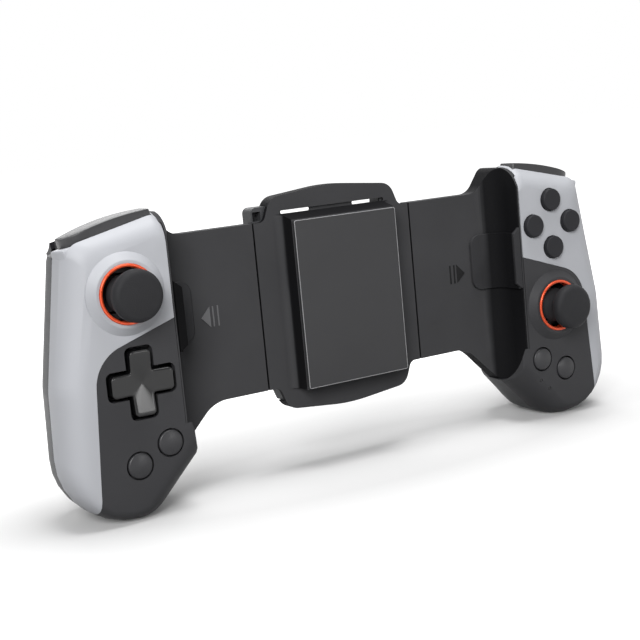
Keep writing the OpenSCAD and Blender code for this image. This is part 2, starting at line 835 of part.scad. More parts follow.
module rear_shell(side) {
  color("#2f3033") handle(side) difference() {
    union() {
      rear_half();
      shoulder();
    }
    slab(parting_y - 1, board_y + board_t + 0.4) polygon(outline(HOLLOW, 8));
    difference() {
      box([4, -5, -43], [30, deep_y, 13]);
      for (p = POSTS) bar(p[0], p[1], boss_r, board_y + board_t + joint_gap, 12);
    }
    wall_room(wall_t + joint_gap, -20, plate_t + joint_gap);
    for (p = POSTS) {
      bar(p[0], p[1], screw_r + pin_gap, -5, 12);
      bar(p[0], p[1], head_r + run_gap, head_y, 40);
    }
    bumper_pocket();
    bumper_bores();
    trigger_pocket();
    on_top_edge() trigger_bar(trigger_pin_r + pin_gap, trigger_from - 1.9, trigger_to + 1.9);
    if (side > 0) socket_block(0.15, 20);
    foot_cut();
  }
}

module left_rear_shell() { rear_shell(-1); }

module right_rear_shell() { rear_shell(1); }

// Round bar on the trigger's axis
module trigger_bar(r, u0, u1) {
  translate([u0, trigger_y, trigger_v]) rotate([0, 90, 0]) cylinder(r = r, h = u1 - u0);
}

// Sticks

module stick_at(side) {
  x = side < 0 ? left_stick_x : right_stick_x;
  z = side < 0 ? left_stick_z : right_stick_z;
  handle(side) translate([x, pivot_y, z]) children();
}

module stick_ring(side) {
  r = ring_d / 2;
  h = pivot_y - ring_y;
  color("#e04a24") stick_at(side) turned([0, 0, 0])
    translate([r - ring_wall / 2, h - ring_len / 2]) rounded(ring_wall, ring_len, 0.45);
}

module left_stick_ring() { stick_ring(-1); }

module right_stick_ring() { stick_ring(1); }

// Mushroom cap with a spherical skirt that closes the hole, bored for the stem
module stick_cap(side) {
  r = cap_d / 2;
  bore = stem_r + pin_gap;
  bore_top = stem_top + click + 0.2;
  inner = skirt_r - skirt_wall;
  a = 90 - skirt_half_angle;
  neck_a = acos(neck_r / skirt_r);
  bore_a = acos((bore + 1.2) / inner);
  color("#2b2b2d") stick_at(side) turned([0, 0, 0])
    polygon(concat([[0, cap_top + cap_crown], [0, bore_top], [bore, bore_top], [bore, 6.4],
      [bore + 1.2, 6.4]],
      arc([0, 0], inner, bore_a, a, 6), arc([0, 0], skirt_r, a, neck_a, 6),
      [[neck_r, neck_top], [r - 1.4, cap_low]], arc([r - 1.2, cap_rim], 1.2, -60, 0, 4),
      arc([r - 2.2, cap_top - 2.2], 2.2, 5, 78, 5), [[3, cap_top + cap_crown - 0.1]]));
}

module left_stick_cap() { stick_cap(-1); }

module right_stick_cap() { stick_cap(1); }

module stick_stem(side) {
  color("#8a8d92") stick_at(side) {
    sphere(r = 3);
    bar(0, 0, stem_r, -stem_top, 0);
    translate([0, 0, -gimbal_h / 2 + 0.2]) cylinder(r = gimbal_pin_r, h = gimbal_h - 0.4);
  }
}

module left_stick_stem() { stick_stem(-1); }

module right_stick_stem() { stick_stem(1); }

module stick_rocker(side) {
  pin_len = module_cavity + 2.4;
  color("#55585c") stick_at(side) {
    difference() {
      cube([gimbal_w, gimbal_t, gimbal_h], center = true);
      cube([gimbal_bore, gimbal_t + 1, gimbal_bore], center = true);
      translate([0, 0, -gimbal_h]) cylinder(r = gimbal_pin_r + pin_gap, h = 2 * gimbal_h);
    }
    for (s = [-1, 1]) translate([s * gimbal_bore / 2, 0, 0]) rotate([0, s * 90, 0])
      cylinder(r = gimbal_pin_r, h = (pin_len - gimbal_bore) / 2);
  }
}

module left_stick_rocker() { stick_rocker(-1); }

module right_stick_rocker() { stick_rocker(1); }

module stick_module(side) {
  w = module_w / 2;
  c = module_cavity / 2;
  back = board_y - pivot_y;
  color("#6b7076") stick_at(side) difference() {
    box([-w, -module_rim, -w], [w, back, w]);
    box([-c, -module_rim - 1, -c], [c, back - 2, c]);
    translate([-w - 1, 0, 0]) rotate([0, 90, 0]) cylinder(r = gimbal_pin_r + pin_gap, h = module_w + 2);
  }
}

module left_stick_module() { stick_module(-1); }

module right_stick_module() { stick_module(1); }

// Round buttons: a crowned or flat cap, a flange behind the skin and a plunger to the membrane

button_end = -5;
plunger_r = 2.6;

module push_button(side, x, z, proud, gap, crown) {
  r = button_d / 2;
  flange = r + gap + 0.25;
  top = proud - face_y;
  seat = -skin_y - run_gap;
  edge = 0.7;
  color("#2b2b2d") handle(side) turned([x, 0, z])
    polygon(concat([[0, -button_end], [plunger_r, -button_end], [plunger_r, seat - 1], [flange, seat - 1],
      [flange, seat], [r, seat]],
      arc([r - edge, top - edge - crown], edge, 0, 80, 4), [[r / 2, top - crown / 4], [0, top]]));
}

module left_button_inner() { push_button(-1, ROUND_BUTTONS[0][0], ROUND_BUTTONS[0][1], 0.8, round_gap, 0.4); }

module left_button_outer() { push_button(-1, ROUND_BUTTONS[1][0], ROUND_BUTTONS[1][1], 0.8, round_gap, 0.4); }

module right_button_inner() { push_button(1, ROUND_BUTTONS[0][0], ROUND_BUTTONS[0][1], 0.8, round_gap, 0.4); }

module right_button_outer() { push_button(1, ROUND_BUTTONS[1][0], ROUND_BUTTONS[1][1], 0.8, round_gap, 0.4); }

module face_button(i) {
  b = [face_x, face_z] + face_pitch * FACE_BUTTONS[i];
  push_button(1, b[0], b[1], 1.9, face_gap, 0.1);
}

module face_button_top() { face_button(0); }

module face_button_left() { face_button(1); }

module face_button_right() { face_button(2); }

module face_button_bottom() { face_button(3); }

// Directional pad on a universal joint: spider pins lie in half-round saddles of the pad and its post

dpad_pivot = -9;
dpad_proud = 1.4;
dpad_flange = 12.1;
dpad_flange_y = -11;
spider_r = 1.2;
spider_len = 9;
saddle_from = 2.3;
plunger_at = 8;
dpad_dish = 40;

module dpad() {
  top = face_y - dpad_proud;
  under = dpad_flange_y + 1;
  color("#1f1f21") handle(-1) translate([dpad_x, 0, dpad_z]) difference() {
    union() {
      slab(top, under) cross(dpad_span, dpad_arm, 1.5);
      bar(0, 0, dpad_flange, dpad_flange_y, under);
      for (turn = [0:90:270]) rotate([0, turn, 0]) bar(plunger_at, 0, 1.8, under - 0.5, button_end);
      for (s = [-1, 1]) translate([0, 0, s * (saddle_from + spider_len / 2) / 2])
        box([-2, under - 0.5, -1.1], [2, dpad_pivot, 1.1]);
    }
    translate([0, top + 0.5 - dpad_dish, 0]) sphere(r = dpad_dish, $fn = 96);
    translate([0, dpad_pivot, -20]) cylinder(r = spider_r + pin_gap, h = 40);
    translate([-20, dpad_pivot, 0]) rotate([0, 90, 0]) cylinder(r = spider_r + 0.5, h = 40);
  }
}

module dpad_spider() {
  color("silver") handle(-1) translate([dpad_x, dpad_pivot, dpad_z]) {
    cylinder(r = spider_r, h = spider_len, center = true);
    rotate([0, 90, 0]) cylinder(r = spider_r, h = spider_len, center = true);
  }
}

module dpad_post() {
  color("#55585c") handle(-1) translate([dpad_x, 0, dpad_z]) difference() {
    union() {
      bar(0, 0, 3.2, dpad_pivot + 2.6, board_y);
      box([-4.7, dpad_pivot, -2], [4.7, dpad_pivot + 3, 2]);
    }
    box([-saddle_from, dpad_pivot - 1, -5], [saddle_from, dpad_pivot + 1.9, 5]);
    translate([-20, dpad_pivot, 0]) rotate([0, 90, 0]) cylinder(r = spider_r + pin_gap, h = 40);
  }
}

// Boards, membranes and other fixed pieces inside a handle

module board_outline() {
  left = wall_t + 0.6;
  right = grip_foot_w - hollow_in - 3.6;
  foot = hollow_foot + 2;
  slant = hollow_diag + 4;
  run = right - slant + foot;
  polygon(outline([[left, 22.4, 1], [11.4, 28.6, 2], [grip_top_w - hollow_in - 0.6, hollow_corner - 1, 5],
    [hip_x - hollow_in - 1, hip_z, 0], [right, foot, 0.6 * run], [slant - foot, foot, 0.4 * run],
    [left, slant - left, 1]], 8));
}

module circuit_board(side) {
  color("#1e5a3a") handle(side) difference() {
    slab(board_y, board_y + board_t) board_outline();
    for (p = POSTS) bar(p[0], p[1], screw_r + run_gap, -5, 5);
  }
}

module left_circuit_board() { circuit_board(-1); }

module right_circuit_board() { circuit_board(1); }

// Silicone sheet with a dome under each button, cut out for the stick module and the posts
module button_membrane(side) {
  x = side < 0 ? left_stick_x : right_stick_x;
  z = side < 0 ? left_stick_z : right_stick_z;
  m = module_w / 2 + run_gap;
  domes = concat(ROUND_BUTTONS, side < 0
    ? [for (t = [0:90:270]) [dpad_x + plunger_at * cos(t), dpad_z + plunger_at * sin(t)]]
    : [for (b = FACE_BUTTONS) [face_x + b[0] * face_pitch, face_z + b[1] * face_pitch]]);
  color("#5c5f63") handle(side) difference() {
    union() {
      slab(board_y - sheet_t, board_y) board_outline();
      for (d = domes) bar(d[0], d[1], side < 0 ? 2.2 : 2.6, button_end + button_travel + 0.3, board_y - 0.2);
    }
    box([x - m, -10, z - m], [x + m, 5, z + m]);
    for (p = POSTS) bar(p[0], p[1], post_r + run_gap, -10, 5);
    if (side < 0) bar(dpad_x, dpad_z, 3.2 + run_gap, -10, 5);
  }
}

module left_button_membrane() { button_membrane(-1); }

module right_button_membrane() { button_membrane(1); }

motor_at = [14, -37];
motor_r = 5;
motor_t = 3.4;

module rumble_motor(side) {
  color("silver") handle(side) bar(motor_at[0], motor_at[1], motor_r, deep_y - motor_t, deep_y);
}

module left_rumble_motor() { rumble_motor(-1); }

module right_rumble_motor() { rumble_motor(1); }

battery_at = [14, -9];
battery_w = 18;
battery_h = 38;

module battery() {
  color("#3d5f8a") handle(-1) translate([battery_at[0], 0, battery_at[1]])
    slab(board_y + board_t + 1.6, deep_y) rounded(battery_w, battery_h, 1.5);
}

// Charging socket: rounded metal shell with a tongue inside
module socket_block(gap, extra) {
  w = socket_w / 2 + gap;
  h = socket_h / 2 + gap;
  translate([socket_from - gap, socket_y, socket_z]) rotate([90, 0, 90])
    linear_extrude(height = socket_to - socket_from + 2 * gap + extra)
      rounded(2 * h, 2 * w, h * 0.9);
}

module charging_socket() {
  color("silver") handle(1) {
    difference() {
      socket_block(0, 0);
      translate([1, 0, 0]) socket_block(-0.3, 2);
    }
    translate([socket_from + 0.5, socket_y - 0.35, socket_z - 3.3])
      cube([socket_to - socket_from - 1.5, 0.7, 6.6]);
  }
}

light_r = 0.6;

module status_lights() {
  color("#d8dadc") handle(1) for (l = LIGHTS) bar(l[0], l[1], light_r, face_y + 0.2, skin_y + 1);
}

// Bumper: a crowned bar that rocks on two trunnions at its inner end
module bumper(side) {
  inner = asin((crown_top[0] - bumper_from) / crown_r);
  outer = asin((bumper_to - crown_top[0]) / crown_r);
  color("#2f3033") handle(side) on_top_edge() {
    intersection() {
      slab(bumper_front, bumper_back) polygon(concat(
        arc(crown_top - [0, crown_r], crown_r, 90 + inner, 90 - outer, 20),
        [[bumper_to, bumper_low], [bumper_from, bumper_low]]));
      upright(-20, 20) polygon(outline([[bumper_from - 1, bumper_front, 0],
        [bumper_from - 1, bumper_back + 1, 0], [bumper_to, bumper_back + 1, 0],
        [bumper_to, bumper_front, bumper_round]], 8));
    }
    bar(bumper_pivot[0], bumper_pivot[1], bumper_lug, bumper_front, bumper_back);
    bar(bumper_pivot[0], bumper_pivot[1], trunnion_r,
      bumper_front - trunnion_len, bumper_back + trunnion_len);
  }
}

module left_bumper() { bumper(-1); }

module right_bumper() { bumper(1); }

// Trigger: a sector that swings on its pin, with a finger hollow along its top and a thin wing outwards
module trigger(side) {
  color("#2f3033") handle(side) on_top_edge() difference() {
    translate([trigger_from, trigger_y, trigger_v]) rotate([90, 0, 90]) {
      linear_extrude(height = trigger_to - trigger_from)
        polygon(concat(arc([0, 0], trigger_r, trigger_end_angle, trigger_tip_angle, 12),
          arc(scoop, scoop_r, scoop_tip_angle, scoop_boss_angle, 12), arc([0, 0], trigger_boss, 60, 300, 20)));
      linear_extrude(height = wing_to - trigger_from)
        polygon(concat(hollow_arc(scoop_r, wing_to_y, wing_from_y),
          hollow_arc(scoop_r + wing_t, wing_from_y, wing_to_y)));
    }
    trigger_bar(trigger_pin_r + pin_gap, trigger_from - 5, trigger_to + 5);
  }
}

// Arc of radius r about the middle of the finger hollow, between two distances behind the pin
function hollow_arc(r, y0, y1) = arc(scoop, r, -acos((y0 - scoop[0]) / r), -acos((y1 - scoop[0]) / r), 8);

module left_trigger() { trigger(-1); }

module right_trigger() { trigger(1); }

module trigger_pin(side) {
  color("silver") handle(side) on_top_edge() trigger_bar(trigger_pin_r, trigger_from - 1.7, trigger_to + 1.7);
}

module left_trigger_pin() { trigger_pin(-1); }

module right_trigger_pin() { trigger_pin(1); }

module case_screws(side) {
  color("silver") handle(side) for (p = POSTS) screw(p[0], p[1], skin_y + 5, head_y);
}

module left_screws() { case_screws(-1); }

module right_screws() { case_screws(1); }

centre_front_cover();
rest_pad();
centre_rear_tray();
centre_screws();
left_slide_spring();
right_slide_spring();
left_flex_cable();
right_flex_cable();
left_slide_arm();
left_faceplate();
left_front_panel();
left_rear_shell();
left_clamp_pad();
left_stick_ring();
left_stick_module();
left_stick_rocker();
left_stick_stem();
left_stick_cap();
left_circuit_board();
left_button_membrane();
left_rumble_motor();
battery();
left_bumper();
left_trigger();
left_trigger_pin();
left_screws();
dpad();
dpad_spider();
dpad_post();
left_button_inner();
left_button_outer();
right_slide_arm();
right_faceplate();
right_front_panel();
right_rear_shell();
right_clamp_pad();
right_stick_ring();
right_stick_module();
right_stick_rocker();
right_stick_stem();
right_stick_cap();
right_circuit_board();
right_button_membrane();
right_rumble_motor();
charging_socket();
right_bumper();
right_trigger();
right_trigger_pin();
right_screws();
status_lights();
face_button_top();
face_button_left();
face_button_right();
face_button_bottom();
right_button_inner();
right_button_outer();
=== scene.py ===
# %% [markdown]
# # A stretching phone controller
# The solids of this controller come from CAD and stay as they are. This lesson gives them their looks:
# a camera and studio light, a finish for every material, and finer surfaces for the pieces that the eye
# and the thumb meet first. All lengths are in metres, in the frame of the CAD part: X runs to the
# player's right, the buttons face -Y and Z is up.

# %% Load the part
import json
import math
import bpy
import bmesh
import numpy as np
from mathutils import Matrix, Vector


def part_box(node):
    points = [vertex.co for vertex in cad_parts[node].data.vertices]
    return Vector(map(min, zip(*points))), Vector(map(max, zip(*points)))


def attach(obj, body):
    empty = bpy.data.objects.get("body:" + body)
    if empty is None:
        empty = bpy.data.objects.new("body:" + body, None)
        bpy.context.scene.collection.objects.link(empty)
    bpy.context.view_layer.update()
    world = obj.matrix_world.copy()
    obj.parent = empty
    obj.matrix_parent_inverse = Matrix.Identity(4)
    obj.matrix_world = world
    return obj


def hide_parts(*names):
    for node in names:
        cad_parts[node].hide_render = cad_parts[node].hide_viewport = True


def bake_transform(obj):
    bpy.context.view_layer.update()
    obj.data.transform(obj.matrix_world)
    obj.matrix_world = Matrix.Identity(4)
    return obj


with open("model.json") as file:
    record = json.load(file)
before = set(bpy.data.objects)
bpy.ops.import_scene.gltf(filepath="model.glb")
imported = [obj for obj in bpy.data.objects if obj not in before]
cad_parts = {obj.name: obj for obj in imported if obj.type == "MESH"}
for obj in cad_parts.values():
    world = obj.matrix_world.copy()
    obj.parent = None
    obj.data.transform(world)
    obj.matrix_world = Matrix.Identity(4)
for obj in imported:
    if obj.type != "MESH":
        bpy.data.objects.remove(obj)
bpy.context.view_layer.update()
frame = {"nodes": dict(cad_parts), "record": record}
nodes = frame["nodes"]
MM = 0.001
SIDES = {"left": -1, "right": 1}
body_of = {n: b for b, names in frame["record"]["behaviour"]["bodies"].items() for n in names}
slot_of = {s["node"]: s["material_slot"] for s in frame["record"]["subparts"]}

# %% [markdown]
# ## Where things are
# The handles are mirror images, so one small function turns a handle's own measure into the part's
# frame: gx is the distance outwards from the inner wall, y and z are counted from the front of the
# slide plates and from their middle height, in millimetres, as on a workshop drawing.

# %% Measures of the handles
WALL_X, DEPTH, STAND = 69.4, 3.9, 58.15


def place(side, gx, y, z):
    """Part frame, in metres, of points given as handle measures; side is -1 left or +1 right."""
    return np.stack(np.broadcast_arrays(side * (WALL_X + gx), y + DEPTH, z + STAND), -1) * MM


# Depth of the front face, of the back of its skin and of the stick pivots
FACE_Y, SKIN_Y, PIVOT_Y = -15.0, -12.6, -8.0
# Centres, as gx and z, of what sits on the face
STICKS = {"left": (16.1, 13.8), "right": (14.7, -15.5)}
CROSS_CENTRE = (14.2, -14.3)
ROUND_BUTTONS = {"inner": (6.8, -34.9), "outer": (17.8, -40.1)}
FACE_CENTRE, FACE_PITCH = (15.2, 15.0), 8.8
FACE_BUTTONS = {"top": (0, 1), "left": (-1, 0), "right": (1, 0), "bottom": (0, -1)}
gx, gz = STICKS["left"]
print("left stick pivots at", place(SIDES["left"], gx, PIVOT_Y, gz))

# %% [markdown]
# ## The camera
# The picture was taken from the player's left, a little above the middle of the part, with a long lens.
# The three view axes below were worked out from the straight edges of the plates. A camera looks down
# its own -Z, so its matrix holds right, up and the reverse of the view direction as columns.


# %% Camera
def into_scene(name, data):
    """A new object of the scene for a mesh, a lamp or a camera."""
    ob = bpy.data.objects.new(name, data)
    bpy.context.scene.collection.objects.link(ob)
    return ob


def stance(right, up, back, at):
    """Matrix whose columns are an object's own right, up and backward axes and its place."""
    columns = np.eye(4)
    columns[:3] = np.column_stack([right, up, back, at])
    return Matrix(columns.tolist())


RIGHT = np.array([0.85216695, -0.51496197, -0.09287443])
DOWN = np.array([-0.15681881, -0.08200057, -0.98421734])
AHEAD = np.array([0.49921874, 0.85328194, -0.1506339])
EYE = np.array([-234.65, -385.37 + DEPTH, 60.33 + STAND]) * MM
SENSOR_MM, LENS_MM, NEAREST = 36, 73.26, 0.01
camera = into_scene("camera", bpy.data.cameras.new("camera"))
camera.matrix_world = stance(RIGHT, -DOWN, -AHEAD, EYE)
camera.data.sensor_width = SENSOR_MM
camera.data.lens = LENS_MM
camera.data.clip_start = NEAREST
bpy.context.scene.camera = camera
bpy.context.scene.view_settings.view_transform = "Standard"
print("camera at", EYE, "lens", camera.data.lens)

# %% [markdown]
# ## Light
# Four broad lamps light the part: one at the front left lights the soft edges of the shells, a low one
# at the front right draws highlights on glossy faces, one overhead lights the tops and leaves a shadow
# under the plates, and a weak one behind shows the back. Each is an area lamp, because a broad source
# gives soft shadows, and each is placed by the angle at which it stands round the part.

# %% Lamps
AIM = (0, 0, 0.05)


def around(azimuth, elevation, distance):
    """Point at a distance from the aim: azimuth counted from the front to the right, elevation upwards."""
    a, e = math.radians(azimuth), math.radians(elevation)
    return (distance * math.cos(e) * math.sin(a), -distance * math.cos(e) * math.cos(a),
            AIM[2] + distance * math.sin(e))


def lamp(name, at, aim, power, size):
    """A square lamp of the given size at one point, turned so that its -Z looks at another."""
    data = bpy.data.lights.new(name, "AREA")
    data.energy, data.size = power, size
    back = np.array(at, float) - np.array(aim, float)
    back /= np.linalg.norm(back)
    side = np.cross([0, 0, 1.0], back)
    side /= np.linalg.norm(side)
    into_scene(name, data).matrix_world = stance(side, np.cross(back, side), back, at)


# Place, aim, power in watts and side of the square in metres
LAMPS = {
    "front_left": (around(-40, 26, 1.35), AIM, 14.5, 0.6),
    "low_right": (around(22, 3, 1.4), AIM, 1.8, 0.25),
    "overhead": ((0.1, -0.1, 1.2), (0.05, 0, 0.05), 10.0, 0.6),
    "back": (around(170, 30, 1.4), AIM, 3.5, 0.6),
}
for name, setting in LAMPS.items():
    lamp(name, *setting)
print("lamps:", list(LAMPS))

# %% [markdown]
# ## Table and sky
# The part stands on a white table under a white sky. Both answer in two ways: the camera, mirrors and
# clear pieces see them bright, while every other ray meets a darker one, so that they throw little
# light up into the bay. A Light Path node tells the rays apart. Shader trees are long to write out, so
# small helpers make a node and connect it in one line.


# %% Shader nodes and rays
def feed(tree, node, sources):
    """Connects inputs of a node, by name or number: a socket is linked, anything else is set as the value."""
    for socket, source in sources.items():
        if isinstance(source, bpy.types.NodeSocket):
            tree.links.new(source, node.inputs[socket])
        else:
            node.inputs[socket].default_value = source


def add_node(tree, kind, sources, **settings):
    """A new shader node with its settings, such as the operation, and its inputs connected."""
    node = tree.nodes.new(kind)
    for key, value in settings.items():
        setattr(node, key, value)
    feed(tree, node, sources)
    return node


def math_node(tree, operation, *sources):
    """Result of one operation on one or two numbers."""
    return add_node(tree, "ShaderNodeMath", dict(enumerate(sources)), operation=operation).outputs[0]


def stretch(tree, socket, low, high, start, end):
    """Carries a number from the range low to high onto the range start to end, held at both ends."""
    return add_node(tree, "ShaderNodeMapRange", {
        "Value": socket, "From Min": low, "From Max": high, "To Min": start, "To Max": end}).outputs["Result"]


def seen_rays(tree):
    """One for rays that show the background: camera, glossy or transmission rays."""
    path = tree.nodes.new("ShaderNodeLightPath").outputs
    mirrored = math_node(tree, "MAXIMUM", path["Is Camera Ray"], path["Is Glossy Ray"])
    return math_node(tree, "MAXIMUM", mirrored, path["Is Transmission Ray"])


print("shader helpers:", [f.__name__ for f in (feed, add_node, math_node, stretch, seen_rays)])

# %% [markdown]
# The table is white paper. A glow is added to what the camera sees of it, rising with the distance from
# the part and fastest in depth, which hides the far edge and keeps the shadow near the part.

# %% Table
FLOOR_REACH = 6.0
PAPER, SHADED_PAPER = 0.74, 0.22
GLOW_SHAPE = (1, 3, 1)
GLOW_NEAR, GLOW_FAR, GLOW_LEAST, GLOW_MOST = 0.10, 0.45, 0.06, 1.0
corners = np.array([(-1, -1, 0), (1, -1, 0), (1, 1, 0), (-1, 1, 0)]) * FLOOR_REACH
floor_mesh = bpy.data.meshes.new("floor")
floor_mesh.from_pydata(corners.tolist(), [], [(0, 1, 2, 3)])
floor = into_scene("floor", floor_mesh)
paper = bpy.data.materials.new("white_table")
paper.use_nodes = True
tree = paper.node_tree
tree.nodes.clear()
lit, dull = (add_node(tree, "ShaderNodeBsdfDiffuse", {"Color": (tone, tone, tone, 1)}).outputs[0]
             for tone in (PAPER, SHADED_PAPER))
where = tree.nodes.new("ShaderNodeTexCoord").outputs["Object"]
shaped = add_node(tree, "ShaderNodeVectorMath", {0: where, 1: GLOW_SHAPE}, operation="MULTIPLY").outputs[0]
away = add_node(tree, "ShaderNodeVectorMath", {0: shaped}, operation="LENGTH").outputs["Value"]
rise = stretch(tree, away, GLOW_NEAR, GLOW_FAR, GLOW_LEAST, GLOW_MOST)
glow = add_node(tree, "ShaderNodeEmission", {"Strength": rise}).outputs[0]
bright = add_node(tree, "ShaderNodeAddShader", {0: lit, 1: glow}).outputs[0]
table = add_node(tree, "ShaderNodeMixShader", {0: seen_rays(tree), 1: dull, 2: bright}).outputs[0]
add_node(tree, "ShaderNodeOutputMaterial", {"Surface": table})
floor_mesh.materials.append(paper)
print("table of", 2 * FLOOR_REACH, "m")

# %% [markdown]
# The sky is plain white where it is seen. As a light it is weak, so the lamps shape the part.

# %% Sky
SOFT_SKY, WHITE_SKY = 0.10, 1.0
world = bpy.data.worlds.new("studio")
bpy.context.scene.world = world
world.use_nodes = True
tree = world.node_tree
tree.nodes.clear()
soft, white = (add_node(tree, "ShaderNodeBackground", {"Color": (1, 1, 1, 1), "Strength": strength}).outputs[0]
               for strength in (SOFT_SKY, WHITE_SKY))
sky = add_node(tree, "ShaderNodeMixShader", {0: seen_rays(tree), 1: soft, 2: white}).outputs[0]
add_node(tree, "ShaderNodeOutputWorld", {"Surface": sky})
print("sky lights the part at", SOFT_SKY)

# %% [markdown]
# ## Finishes
# Nearly everything here is moulded plastic or rubber. A real moulding is never one even colour: the
# tool's spark-eroded grain scatters light, and handling polishes it in patches. Each finish is a
# Principled shader whose colour, roughness and bump come from noise on Object coordinates, so nothing
# slides when a piece moves. The grain is a fraction of a millimetre, as on the real parts.

# %% Finish helper
# Scale and detail of the noise behind colour and roughness, and the detail of the grain
BROAD, MIDDLE, GRAIN_DETAIL = (38.0, 3.0), (420.0, 2.0), 2.0
# Where on the broad noise the darker and the paler tone stand
DARKER_AT, PALER_AT = 0.3, 0.7
ROUGH_SWING = 0.12
BUMP_DEPTH = 0.0002


def finish(name, tone, rough, grain=2600.0, relief=0.12, spread=0.06, specular=0.3, metallic=0.0, masks=(),
           under=None):
    """A grained finish: colour = tone varied by broad noise, roughness by middle noise, bump by fine noise.
    Where one of the masks falls to zero the colour falls to the tone called under, a painted shade."""
    mat = bpy.data.materials.new(name)
    mat.use_nodes = True
    tree = mat.node_tree
    spot = tree.nodes.new("ShaderNodeTexCoord").outputs
    broad, middle, fine = (
        add_node(tree, "ShaderNodeTexNoise",
                 {"Vector": spot["Object"], "Scale": scale, "Detail": detail}).outputs["Fac"]
        for scale, detail in (BROAD, MIDDLE, (grain, GRAIN_DETAIL)))
    tone = np.array(tone, float)
    ramp = tree.nodes.new("ShaderNodeValToRGB")
    stops = ramp.color_ramp.elements
    stops[0].position, stops[1].position = DARKER_AT, PALER_AT
    stops[0].color = (*(tone * (1 - spread)), 1)
    stops[1].color = (*np.minimum(tone * (1 + spread), 1.0), 1)
    # The tone under is painted shade, laid where a mask falls to zero.
    if masks:
        stops.new(0.0).color = (*under, 1)
    shade = broad
    for mask in masks:
        shade = math_node(tree, "MULTIPLY", shade, mask(tree, spot))
    feed(tree, ramp, {"Fac": shade})
    gloss = stretch(tree, middle, 0, 1, rough * (1 - ROUGH_SWING), min(rough * (1 + ROUGH_SWING), 1.0))
    bump = add_node(tree, "ShaderNodeBump", {"Height": fine, "Strength": relief, "Distance": BUMP_DEPTH})
    feed(tree, tree.nodes["Principled BSDF"], {
        "Base Color": ramp.outputs["Color"], "Roughness": gloss, "Normal": bump.outputs["Normal"],
        "Metallic": metallic, "Specular IOR Level": specular})
    return mat


print("patches of colour:", round(1 / BROAD[0] / MM), "mm, of gloss:", round(1 / MIDDLE[0] / MM, 1), "mm")

# %% [markdown]
# The walls of the bay that takes the phone, where they face each other, and the sides of the block are painted
# black, a painted shade that darkens them beyond what the lamps give. Masks darken those faces, either by the
# way a face looks or by its place. A mask is a small function that adds its nodes to the finish it is given to.

# %% Masks
X_AXIS, Y_AXIS = 0, 1


def one_axis(tree, vector, axis):
    """The part of a place or a direction along one axis."""
    return add_node(tree, "ShaderNodeSeparateXYZ", {0: vector}).outputs[axis]


def facing(axis, low, high, start, end):
    """Mask by how squarely a face looks along an axis: the size of that part of its normal, stretched."""
    def build(tree, spot):
        size = math_node(tree, "ABSOLUTE", one_axis(tree, spot["Normal"], axis))
        return stretch(tree, size, low, high, start, end)
    return build


def between(axis, low, high, start, end):
    """Mask by place: the coordinate along an axis, stretched from the range low to high in metres."""
    def build(tree, spot):
        return stretch(tree, one_axis(tree, spot["Object"], axis), low, high, start, end)
    return build


def apart(axis, middle, near, far):
    """Mask by distance from a place along an axis: zero up to near, one from far on, in metres."""
    def build(tree, spot):
        off = math_node(tree, "SUBTRACT", one_axis(tree, spot["Object"], axis), middle)
        return stretch(tree, math_node(tree, "ABSOLUTE", off), near, far, 0, 1)
    return build


print("masks:", [f.__name__ for f in (facing, between, apart)])

# %% [markdown]
# Each material of the part has one finish, given as a tone and a roughness. The slide arms and the clamp pads
# are painted black on the faces that look sideways, as painted shade, and the left clamp pad is grey where it
# lies on the plate and painted black at the lip, also painted shade.

# %% One finish for each material of the part
# Black of painted shade, for the faces in the bay and the sides of the block.
SHADE_BLACK = (0.010, 0.010, 0.011)
INK = (0.006, 0.006, 0.0065)
# Painted shade: this mask falls to zero on faces that look sideways, so the bay's walls are painted black.
wall_shade = facing(X_AXIS, 0.03, 0.5, 1, 0)
FINISH = {
    "light_shell": finish("light_grey_shell", (0.485, 0.495, 0.525), 0.45, spread=0.02, relief=0.05),
    "dark_shell": finish("dark_back_shell", (0.046, 0.047, 0.050), 0.5, relief=0.15, specular=0.25),
    "dark_panel": finish("dark_front_panel", (0.045, 0.045, 0.048), 0.5, relief=0.12, specular=0.15),
    "arm_plastic": finish("slide_arm_plastic_painted_shade", (0.062, 0.062, 0.065), 0.55, relief=0.1, specular=0.03,
                          masks=[wall_shade], under=SHADE_BLACK),
    "rest_rubber": finish("rest_pad_skin", (0.033, 0.033, 0.035), 0.38, relief=0.05, specular=0.22),
    # Painted shade: the left clamp pad falls to near black at its lip and on its sideways faces.
    "clamp_rubber": finish("clamp_pad_rubber_painted_shade", (0.048, 0.048, 0.051), 0.6, relief=0.15, specular=0.03,
                           masks=[between(Y_AXIS, 0.0, 0.0025, 0, 1), wall_shade], under=INK),
    "ring_metal": finish("orange_ring", (0.76, 0.085, 0.022), 0.28, grain=900, relief=0.03, specular=0.5,
                         metallic=0.35),
    "stick_rubber": finish("stick_cap_rubber", (0.022, 0.022, 0.024), 0.6, relief=0.25, specular=0.15),
    "button_plastic": finish("button_plastic", (0.022, 0.022, 0.025), 0.42, relief=0.06, specular=0.12),
    "gimbal_plastic": finish("gimbal_plastic", (0.02, 0.02, 0.022), 0.5),
    "steel": finish("plain_steel", (0.55, 0.56, 0.58), 0.32, grain=1500, metallic=1.0),
    "board": finish("board_mask", (0.01, 0.10, 0.05), 0.3, spread=0.15),
    "membrane": finish("silicone_sheet", (0.15, 0.15, 0.16), 0.6),
    "cell": finish("cell_wrap", (0.06, 0.11, 0.24), 0.4),
    "cable": finish("cable_film", (0.38, 0.15, 0.04), 0.35),
    "light_guide": finish("light_guide", (0.012, 0.012, 0.013), 0.25),
}
print("finishes:", len(FINISH))
